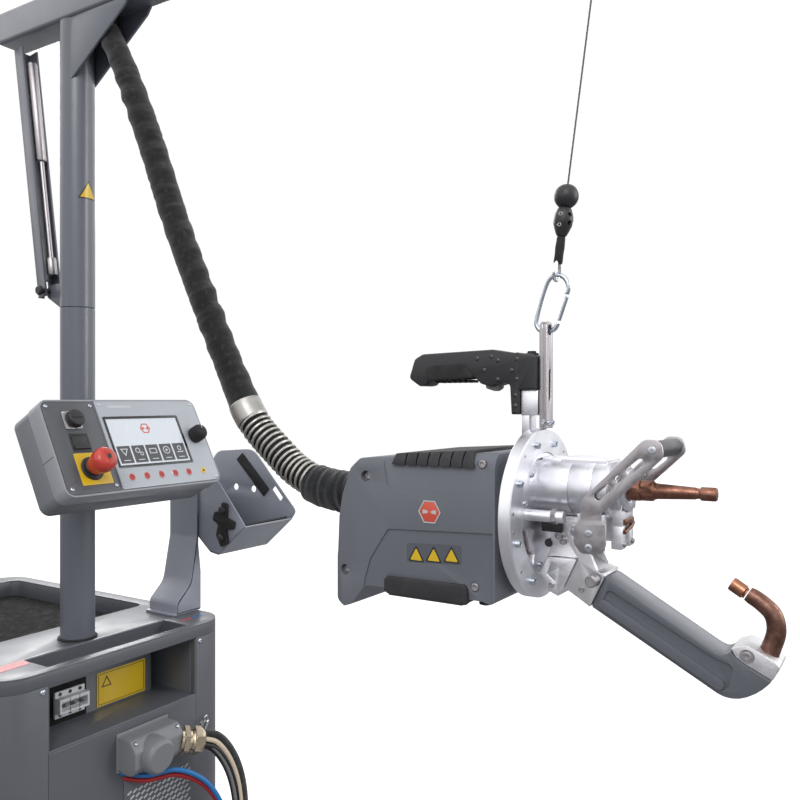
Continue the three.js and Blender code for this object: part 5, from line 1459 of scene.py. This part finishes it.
def build_pads():
    slope = (77 - 66) / (200 - 28)

    def roof(y):
        return 77 - (y - 28) * slope

    lap = HALF_WIDE + 3
    strip = slab("x", [[(170, 58), (166, roof(166) + 3.6), (58, roof(58) + 3.6), (54, 58)]], -lap, lap)
    crown = slab("y", [rounded([(-lap, 20), (lap, 20), (lap, 83), (-lap, 83)], [1, 1, 27, 27], 10)], 0, 300)
    pad = combine(strip, crown, "INTERSECT")
    inside = crossed(rounded(SIDE_LINE, SIDE_RADII, 8), HALF_WIDE, SHOULDER)
    for vertex in inside.verts:
        vertex.co.x *= 1.003
        vertex.co.z *= 1.003
    pad = combine(pad, inside)
    for y in range(70, 160, 16):
        groove = slab("y",
                      [rounded([(-lap - 4, 10), (lap + 4, 10), (lap + 4, 90), (-lap - 4, 90)],
                               [1, 1, 30, 30], 8),
                       rounded([(-lap + 1.2, 0), (lap - 1.2, 0), (lap - 1.2, roof(y) + 2.6),
                                (-lap + 1.2, roof(y) + 2.6)], [1, 1, 26, 26], 8)], y - 1.1, y + 1.1)
        pad = combine(pad, groove)
    gun_piece("roof_pad", soften(pad, 0.8, 2, 40), PAD_RUBBER, replaces=["top_pad"], smooth=50)
    for word, side in SIDES:
        flank = [(178, -83.5), (68, -82), (64, -86), (62, -103), *scalloped(64, 178, -105, -1.6, 8),
                 (182, -103), (182, -88)]
        plate = side_plate(side, [flank], HALF_WIDE - 2.2, HALF_WIDE + 3.2, 1.6)
        ledge = [(68, -100), (178, -100), (175, -107.5), (71, -107.5)]
        under = side_plate(side, [ledge], 30, HALF_WIDE + 2.4, 1.2)
        gun_piece(f"side_pad_{word}", merge(plate, under), PAD_RUBBER, smooth=50)
    feet = [lathe([(0, 0), (8, 0), (9, -2), (8, -8), (5, -9), (0, -9)], (x, 52, -100), (0, 0, 1), 32)
            for x in (-60, 60)]
    gun_piece("housing_feet", merge(*feet), BLACK_RUBBER)


# ---------------------------------------------------------------- ring, hanger and handle


def build_ring():
    ring = lathe([(73.8, 0.8), (74.6, 0), (102.6, 0), (104, 1.4), (104, 14.6), (102.6, 16), (74.6, 16),
                  (73.8, 15.2)], (0, 0, 0), (0, 1, 0), 160, closed=True)
    gun_piece("bearing_ring", ring, RING_METAL, "gun_frame", ["rotary_ring"])
    screws = [socket_screw((x, 0, z), (0, -1, 0), 4.2, 4.5)
              for x, z in spread(88, (18, 62, 108, 152, 208, 252, 298, 342))]
    gun_piece("ring_screws", merge(*screws), ZINC, "gun_frame")
    dowels = [lathe([(0, -0.5), (2.2, -0.5), (2.2, 0.3), (1.6, 0.6), (0, 0.6)], (x, 0, z), (0, -1, 0), 20)
              for x, z in spread(95, (40, 130, 230, 262, 275, 320))]
    gun_piece("ring_dowels", merge(*dowels), STEEL, "gun_frame")

    strap = rounded([(-10, 104.4), (10, 104.4), (10, 236), (-10, 236)], [1, 1, 9, 9], 10)
    slot_hole = slot((0, 141), (0, 174), 3)
    eye = circle(0, 225.5, 6.5, 40)
    front, rear = [slab("y", [strap, slot_hole, eye], low, high, 0.6)
                   for low, high in ((-6, -1.4), (-0.8, 4))]
    core = slab("y", [rounded([(-9.2, 106), (9.2, 106), (9.2, 234), (-9.2, 234)], [1, 1, 8, 8], 8),
                      slot((0, 141), (0, 174), 3.4), circle(0, 225.5, 7, 40)], -1.8, -0.4)
    gun_piece("hanger_strap", merge(front, rear, core), STEEL, "gun_frame", ["hanger_bracket"])
    base = [socket_screw((x, -6, 111), (0, -1, 0), 3.4, 3) for x in (-5.5, 5.5)]
    base += [socket_screw((s * 10, -1, 112), (s, 0, 0), 3, 2.6) for s in (-1, 1)]
    gun_piece("hanger_screws", merge(*base), ZINC, "gun_frame")


def build_handle():
    post = merge(brick(-11, 11, 16.4, 27, 92, 130, 1), brick(-12, 12, 5, 27.5, 120, 151, 1))
    gun_piece("handle_bracket", post, BRIGHT_FACE, "gun_frame", ["handle_post"])
    side = [(189, 168), (172, 157), (163, 158.5), (157, 164.5), (126, 165), (90, 168.5), (82, 160),
            (69, 156), (50, 161), (41, 158), (39, 121), (28.3, 121), (28.3, 151.4), (5, 151.4), (5, 194),
            (49, 200), (65, 203), (168, 200), (180, 194)]
    radii = [6, 5, 4, 4, 10, 3, 4, 6, 4, 4, 2, 2, 1, 2, 3, 8, 8, 12, 9]
    body = slab("x", [rounded(side, radii, 6)], -17, 17, 2.6)
    body = combine(body, brick(-7.6, 7.6, 58, 80, 140, 172, 0))
    body = combine(body, rod((0, 18, 184), (0, 18, 212), 6.4))
    gun_piece("handle_shell", body, NYLON, "gun_frame", ["handle_body"])
    grip = rounded([(163, 184), (103, 186), (93, 172), (92, 167), (155, 164.2), (160, 165)],
                   [9, 8, 4, 2, 3, 5], 6)
    shape = slab("x", [grip], -18.6, 18.6, 1.6)
    ridges = merge(*[slab("x",
                          [rounded([(x, 164.6 - (0 if x > 126 else -1.2)), (x + 5, 164.4), (x + 3.6, 161.6),
                                    (x + 1.4, 161.6)], 0.8, 3)], -13, 13, 0.6) for x in range(98, 150, 8)])
    gun_piece("handle_grip", merge(shape, ridges), BLACK_RUBBER, "gun_frame")
    spots = ((86, 192), (76, 177), (66, 194), (57, 189), (57, 165), (31, 190), (31, 165), (38, 176),
             (33, 132), (33, 145))
    screws = [dome_screw((s * 16.6, y, z), (s, 0, 0), 2.9, 1.5) for s in (-1, 1) for y, z in spots]
    gun_piece("handle_screws", merge(*screws), DARK_STEEL, "gun_frame")
    seam = slab("x", [rounded([(30.5, 152), (30.5, 198.2), (31.3, 198.2), (31.3, 152)], 0)], -17.15, 17.15)
    gun_piece("handle_seam", seam, INK, "gun_frame")
    gun_piece("trigger_blade", from_cad("trigger", 1.2, 3, place=GUN), GREY_NYLON, "trigger", ["trigger"])
    cap = [(0, 188.6), (5.6, 188.6), (5.6, 199), (4.8, 200.2), (0, 200.5)]
    button = lathe(cap, (0, 18, 0), (0, 0, 1), 40)
    gun_piece("thumb_button", button, BLACK_RUBBER, "top_button", ["top_button"])
    gun_piece("thumb_collar", tube(6.4, 8.8, 194.2, 197.6, 0.8, (0, 18, 0), (0, 0, 1), 40), NYLON,
              "gun_frame")


# ---------------------------------------------------------------- welding head

AXIS_UP = 34


def obround(margin=0.0):
    high, half = 33 - margin, 46 - margin
    return slot((-(half - high), AXIS_UP), (half - high, AXIS_UP), high, 24)


def build_head():
    windows = []
    for angle in (0.1, 2.2, -2.2):
        arc = [(angle - 0.42 + 0.07 * i, 68) for i in range(13)]
        arc += [(angle + 0.36 - 0.06 * i, 57) for i in range(13)]
        windows.append([(r * math.sin(a), r * math.cos(a)) for a, r in arc])
    hub = slab("y", [circle(0, 0, 73.4, 128), *windows], 1, 15, 0.6)
    neck = lathe([(0, 14), (54, 14), (54, 44), (0, 44)], (0, 0, 0), (0, 1, 0), 64)
    gun_piece("hub_plate", merge(hub, neck), RING_METAL, replaces=["gun_head"])
    band = slab("y", [circle(0, 0, 72, 96), circle(0, 0, 60, 96)], 9, 12)
    gun_piece("hub_copper_band", band, COPPER_BAND)
    hub_screws = [socket_screw((x, 1, z), (0, -1, 0), 3.2, 3)
                  for x, z in spread(64, (40, 75, 165, 195, 285, 320))]
    gun_piece("hub_screws", merge(*hub_screws), ZINC)

    drums = [slab("y", [obround(m)], low, high, 0.9) for low, high, m in
             ((-92, -74, 0), (-73.6, -46, 0), (-45.6, -6, 0), (-6.4, 2, 1.2))]
    seams = [slab("y", [obround(1.1)], -90, 0)]
    nose = lathe([(13.6, 0), (31.5, 0), (31.5, 9), (30, 11), (27, 11.6), (26, 15), (24.5, 16), (17, 16),
                  (16, 14.5), (13.6, 14.5)], (0, -91, AXIS_UP), (0, -1, 0), 96, closed=True)
    barrel = combine(merge(*drums[:1]), rod((0, -120, AXIS_UP), (0, -60, AXIS_UP), 13.6, sides=64))
    gun_piece("welding_cylinder", merge(barrel, *drums[1:], nose, *seams), BARREL_METAL)
    roof = [slab("x", [rounded([(-86, 60), (-30, 60), (-30, 68.6), (-36, 71.5), (-80, 71.5), (-86, 68.6)],
                               1.2, 3)], -25, 25, 0.8), brick(-20, 20, -29, -4, 58, 69.5, 1.0)]
    rods = [rod((s * 52, 2, 3), (s * 52, -45, 3), 7, 1.0, 40) for s in (-1, 1)]
    nuts = [lathe([(0, 0), (7.6, 0, hexagon), (7.6, 6, hexagon), (0, 6)], (s * 52, -30, 3), (0, -1, 0), 48)
            for s in (-1, 1)]
    gun_piece("cylinder_fittings", merge(*roof, *rods), BRIGHT_FACE)
    gun_piece("tie_rod_nuts", merge(*nuts), STEEL)

    cheek_line = rounded([(-58, 8), (-58, -34), (-88, -34), (-88, 8)], [1, 8, 8, 1], 6)
    cheeks = [slab("x", [cheek_line], low, high, 0.7) for low, high in ((-46.9, -31), (31, 46.9))]
    saddle = [brick(-22, 22, -103, -88, -8, 20, 1.2), brick(-22, -8, -103, -90, -34, -6, 1.2),
              brick(8, 22, -103, -90, -34, -6, 1.2)]
    gun_piece("head_blocks", merge(*cheeks, *saddle), MILLED)
    sag = smooth_path([(-17, -104.4, -14), (-6, -105.6, -11), (6, -105.6, -9), (17, -104.4, -6)], 2)
    strip = sweep(sag, 2.4, 12)
    bar_piece = brick(-16, 16, -106, -103.2, -6, 1, 0.8)
    gun_piece("current_shunt", merge(strip, bar_piece), COPPER_BAND)
    shunt_bolts = [socket_screw((x, -103, z), (0, -1, 0), 3.4, 3)
                   for x, z in ((-18, 14), (18, 14), (-15, -28), (15, -28))]
    shunt_bolts += [socket_screw((x, -86.5, 60), (0, -1, 0), 2.6, 2.2) for x in (-16, 16)]
    gun_piece("head_bolts", merge(*shunt_bolts), STEEL)
    dark = [brick(-24, 24, -30, -4, -20, -2, 2), rod((-20, -12, -34), (20, -12, -34), 5),
            brick(-10, 10, -28, -14, -48, -18, 2)]
    gun_piece("spring_pack", merge(*dark), NYLON)


def build_front_handle():
    line = [(-64, 24), (-136, 95.5), (-155, 95), (-158, 77), (-88, 10), (-89, 2), (-92, -2), (-92, -32),
            (-84, -37), (-63, -37), (-55, -26), (-55, -8), (-63, 2)]
    radii = [16, 12, 10, 10, 3, 3, 3, 6, 8, 10, 12, 12, 5]
    holes = [slot((-132, 70), (-120, 60), 4.2), circle(-107, 50.5, 3.8), slot((-96, 40), (-84, 29.5), 4.2)]
    for word, low in (("left", -50.2), ("right", 47.2)):
        gun_piece(f"handle_plate_{word}", slab("x", [rounded(line, radii, 8), *holes], low, low + 3, 0.6),
                  STEEL, replaces=[f"front_plate_{word}"])
    grip = lathe([(0, -46.9), (9, -46.9), (9.6, -45.6), (9.9, -40), (9.9, 40), (9.6, 45.6), (9, 46.9),
                  (0, 46.9)], (0, -145, 83.5), (1, 0, 0), 64)
    gun_piece("front_grip_bar", grip, NYLON, replaces=["front_grip"])
    screws = [lathe([(0, -0.4), (4.6, -0.4), (4.6, 0.5), (3.8, 0.8), (1.7, 0.8), (1.7, -0.2), (0, -0.2)],
                    (s * 50.2, y, z), (s, 0, 0), 32)
              for s in (-1, 1) for y, z in ((-73, -14), (-73, -30), (-145, 83.5))]
    gun_piece("handle_plate_screws", merge(*screws), ZINC)
    spacer = [rod((-47.2, -107, 50.5), (47.2, -107, 50.5), 2.8)]
    gun_piece("handle_plate_spacer", merge(*spacer), STEEL)


def build_electrodes():
    start = (0, -62, AXIS_UP)
    forward = (0, -1, 0)

    def flats(angle):
        """Two spanner flats."""
        return min(1, 0.9 / max(abs(math.cos(angle)), 0.01))

    profile = [(0, 0), (12.4, 0), (12.4, 56), (11.9, 57.2), (11.3, 57.6), (11.9, 58.4, flats),
               (11.9, 70.6, flats), (11.2, 71.6), (9.6, 73.5), (9.1, 76), (6.8, 118.4), (6.2, 119.6),
               (6.0, 120.2), (6.0, 123.3), (0, 123.3)]
    gun_piece("moving_electrode", lathe(profile, start, forward, 64), COPPER_UPPER, "electrode_slide",
              ["upper_electrode"])
    cap = [(0, 0), (7.2, 0), (7.8, 0.7), (7.8, 15.4), (7.5, 16.4), (6.8, 17.3), (5.6, 17.6), (0, 17.6)]
    gun_piece("moving_cap", lathe(cap, (0, -185.7, AXIS_UP), forward, 64), COPPER_UPPER, "electrode_slide",
              ["upper_cap"])


def build_arm():
    gun_piece("arm_bracket", from_cad("arm_carrier", 1.0, place=GUN), MILLED, replaces=["arm_carrier"])
    bolts = [socket_screw((s * 18.6, y, z), (s, 0, 0), 4.4, 4) for s in (-1, 1)
             for y, z in ((-25, -24), (-31, -30))]
    bolts += [socket_screw((s * 29, -20, -82), (s, 0, 0), 3.4, 3) for s in (-1, 1)]
    gun_piece("carrier_bolts", merge(*bolts), STEEL)
    gun_piece("arm_knuckle", from_cad("arm_block", 0.9, place=GUN), BEAD_BLASTED, "lower_arm", ["arm_block"])
    pin = lathe([(0, -43.6), (5.5, -43.6), (7.2, -42), (7.2, -30), (6, -28.6), (3.9, -28), (3.9, -16),
                 (0, -16)], (0, -73, -70), (1, 0, 0), 48)
    gun_piece("release_plunger", pin, STEEL, "release_pin", ["arm_release_pin"])
    caps = [lathe([(0, 0), (6.4, 0), (6.4, 1.4), (5.4, 2), (0, 2)], (s * 26, -49, -16), (s, 0, 0), 32)
            for s in (-1, 1)]
    gun_piece("pivot_caps", merge(*caps), ZINC, "lower_arm")
    side_bolts = [socket_screw((s * 26, y, z), (s, 0, 0), 3.2, 2.6)
                  for s, y, z in ((1, -73, -70), (1, -56, -84), (-1, -56, -84))]
    gun_piece("knuckle_bolts", merge(*side_bolts), STEEL, "lower_arm")

    arm = [(-84.5, -65.4), (-204, -133.5), (-213, -136.5), (-221.2, -130.4), (-226, -136.6),
           (-233.5, -141.4), (-262.4, -155.4), (-259, -160.2), (-253.2, -166.4), (-246, -172.4),
           (-237.5, -177.6), (-229.5, -180.8), (-221.4, -182), (-214.5, -181.4), (-207.8, -179.2),
           (-66.4, -103.4)]
    radii = [3, 14, 9, 1, 3, 3, 1, 12, 18, 20, 20, 20, 20, 20, 14, 3]
    body = slab("x", [rounded(arm, radii, 6)], -23, 23, 1.8)
    ledge = rounded([(-87, -80), (-206, -141), (-225, -146), (-219, -172), (-211, -175), (-77, -102.5)],
                    [5, 12, 6, 6, 5, 6], 6)
    for low, high in ((-30, -20.5), (20.5, 30)):
        body = combine(body, slab("x", [ledge], low, high))
    for low, high in ((-30, -16), (16, 30)):
        body = combine(body, slab("x", [slot((-84, -98), (-210, -166.5), 5.5, 10)], low, high))
    gun_piece("arm_casting", soften(body, 1.3, 3, 40), ARM_GREY, "lower_arm", ["lower_arm"])
    clamp_line = rounded([(-222, -127.2), (-226.4, -136), (-233.8, -140.9), (-262.9, -154.9),
                          (-272, -138.5), (-237, -120.8)], [1, 1, 1, 2, 6, 9], 5)
    clamp = slab("x", [clamp_line], -24, 24, 0.9)
    clamp = combine(clamp, rod((0, -251.3, -146), (0, -262.2, -116), 10.4, sides=48))
    clamp = combine(clamp, brick(-0.8, 0.8, -280, -256, -160, -100, 0))
    gun_piece("electrode_clamp", clamp, BEAD_BLASTED, "lower_arm", ["arm_clamp"])
    bolt = merge(*[socket_screw((s * 24, -238, -133), (s, 0, 0), 5, 2.6) for s in (-1, 1)],
                 *[tube(5.4, 7.6, -0.4, 0.8, 0.3, (s * 24, -238, -133), (s, 0, 0), 40) for s in (-1, 1)])
    gun_piece("clamp_bolt", bolt, STEEL, "lower_arm")
    elbow = smooth_path([(0, -253.2, -141), (0, -257.5, -129), (0, -263.3, -108), (0, -260, -91),
                         (0, -248.6, -79.8), (0, -235, -71.6)], 1)

    def bulge(share, _):
        return 10.0 - 1.5 * max(0, share - 0.35) - 16 * max(0, share - 0.94)

    gun_piece("bent_electrode", sweep(elbow, bulge, 48), COPPER_LOWER, "lower_arm", ["lower_electrode"])
    cap = [(0, 0), (6.2, 0), (6.2, 1.6), (7.2, 2.2), (7.8, 3), (7.8, 16.6), (7.4, 17.8), (6.4, 18.4),
           (0, 18.5)]
    gun_piece("fixed_cap", lathe(cap, (0, -233.4, -71.8), (0, 0.848, 0.53), 64), COPPER_CAP, "lower_arm",
              ["lower_cap"])


# ---------------------------------------------------------------- studio


def build_backdrop():
    """White behind the object, and soft light and dark bands round it for the metal to mirror."""
    world = bpy.data.worlds.new("studio")
    world.use_nodes = True
    nodes = world.node_tree.nodes
    links = world.node_tree.links

    def shading(factor, stops):
        ramp = nodes.new("ShaderNodeValToRGB")
        links.new(factor, ramp.inputs[0])
        ramp.color_ramp.interpolation = "EASE"
        while len(ramp.color_ramp.elements) < len(stops):
            ramp.color_ramp.elements.new(0.5)
        for element, (position, value) in zip(ramp.color_ramp.elements, stops):
            element.position = position
            element.color = (value, value, value * 1.01, 1)
        return ramp.outputs[0]

    place = nodes.new("ShaderNodeTexCoord").outputs["Generated"]
    split = nodes.new("ShaderNodeSeparateXYZ")
    links.new(place, split.inputs[0])
    height = nodes.new("ShaderNodeMapRange")
    height.inputs["From Min"].default_value = -1
    links.new(split.outputs[2], height.inputs["Value"])
    sky = shading(height.outputs[0], [(0.0, 0.34), (0.42, 0.42), (0.52, 0.62), (0.7, 0.78), (1.0, 0.72)])
    patches = nodes.new("ShaderNodeTexNoise")
    patches.inputs["Scale"].default_value = 1.9
    patches.inputs["Detail"].default_value = 1.0
    links.new(place, patches.inputs["Vector"])
    bands = shading(patches.outputs["Fac"], [(0.36, 0.55), (0.50, 0.92), (0.64, 1.2)])
    lit = nodes.new("ShaderNodeMix")
    lit.data_type = "RGBA"
    lit.blend_type = "MULTIPLY"
    lit.inputs[0].default_value = 1
    links.new(sky, lit.inputs[6])
    links.new(bands, lit.inputs[7])
    seen = nodes.new("ShaderNodeLightPath")
    mirrored = nodes.new("ShaderNodeMath")
    mirrored.operation = "MULTIPLY_ADD"
    links.new(seen.outputs["Is Glossy Ray"], mirrored.inputs[0])
    mirrored.inputs[1].default_value = 0.85
    mirrored.inputs[2].default_value = 1
    mix = nodes.new("ShaderNodeMix")
    mix.data_type = "RGBA"
    links.new(seen.outputs["Is Camera Ray"], mix.inputs[0])
    links.new(lit.outputs[2], mix.inputs[6])
    mix.inputs[7].default_value = (1.02, 1.02, 1.02, 1)
    links.new(mix.outputs[2], nodes["Background"].inputs["Color"])
    links.new(mirrored.outputs[0], nodes["Background"].inputs["Strength"])
    return world


def build_studio():
    scene = bpy.context.scene
    scene.view_settings.view_transform = "Standard"
    floor = bpy.data.meshes.new("studio_floor")
    bm = bmesh.new()
    bmesh.ops.create_circle(bm, cap_ends=True, radius=14, segments=96)
    bm.to_mesh(floor)
    bm.free()
    ground = bpy.data.objects.new("studio_floor", floor)
    scene.collection.objects.link(ground)
    floor_look = Finish("studio_floor", (150, 150, 152), 0.8).mottled(1.5, 0.99, 1.0)
    floor_look.shader.inputs["Emission Color"].default_value = (1, 1, 1, 1)
    floor_seen = floor_look.add("ShaderNodeLightPath")
    floor_look.links.new(floor_seen.outputs["Is Camera Ray"], floor_look.shader.inputs["Emission Strength"])
    floor.materials.append(floor_look.done())

    scene.world = build_backdrop()

    def area(name, place_at, aim, size, power):
        light = bpy.data.lights.new(name, "AREA")
        light.shape = "RECTANGLE"
        light.size, light.size_y = size
        light.energy = power
        lamp = bpy.data.objects.new(name, light)
        lamp.location = place_at
        lamp.rotation_euler = (Vector(aim) - Vector(place_at)).to_track_quat("-Z", "Y").to_euler()
        scene.collection.objects.link(lamp)

    target = at(ROW, 0, -600, 1100)
    area("key_light", (-2.6, -1.4, 3.4), target, (1.6, 1.6), 44)
    area("side_light", (1.6, -3.4, 2.2), target, (1.0, 2.0), 40)
    area("back_light", (1.8, 2.6, 2.8), target, (1.6, 1.2), 40)
    area("top_light", (-0.2, -0.4, 4.2), target, (2.4, 2.4), 10)

    camera = bpy.data.cameras.new("camera")
    camera.lens = 37.35
    camera.sensor_width = 36
    viewer = bpy.data.objects.new("camera", camera)
    viewer.location = at(ROW, -965, -1310, 1283)
    viewer.rotation_euler = Vector((0.8443, 0.5358, 0)).to_track_quat("-Z", "Y").to_euler()
    scene.collection.objects.link(viewer)
    scene.camera = viewer


build_cabinet()
build_top()
build_front()
build_breaker()
build_cables(*build_plug())
build_latch()
build_wheels()
build_inside()
build_mast()
build_mast_sign()
build_strut()
build_balancer()
build_suspension()
build_hose()
build_panel()
build_holder()
build_housing()
build_ring()
build_handle()
build_head()
build_front_handle()
build_electrodes()
build_arm()
build_studio()
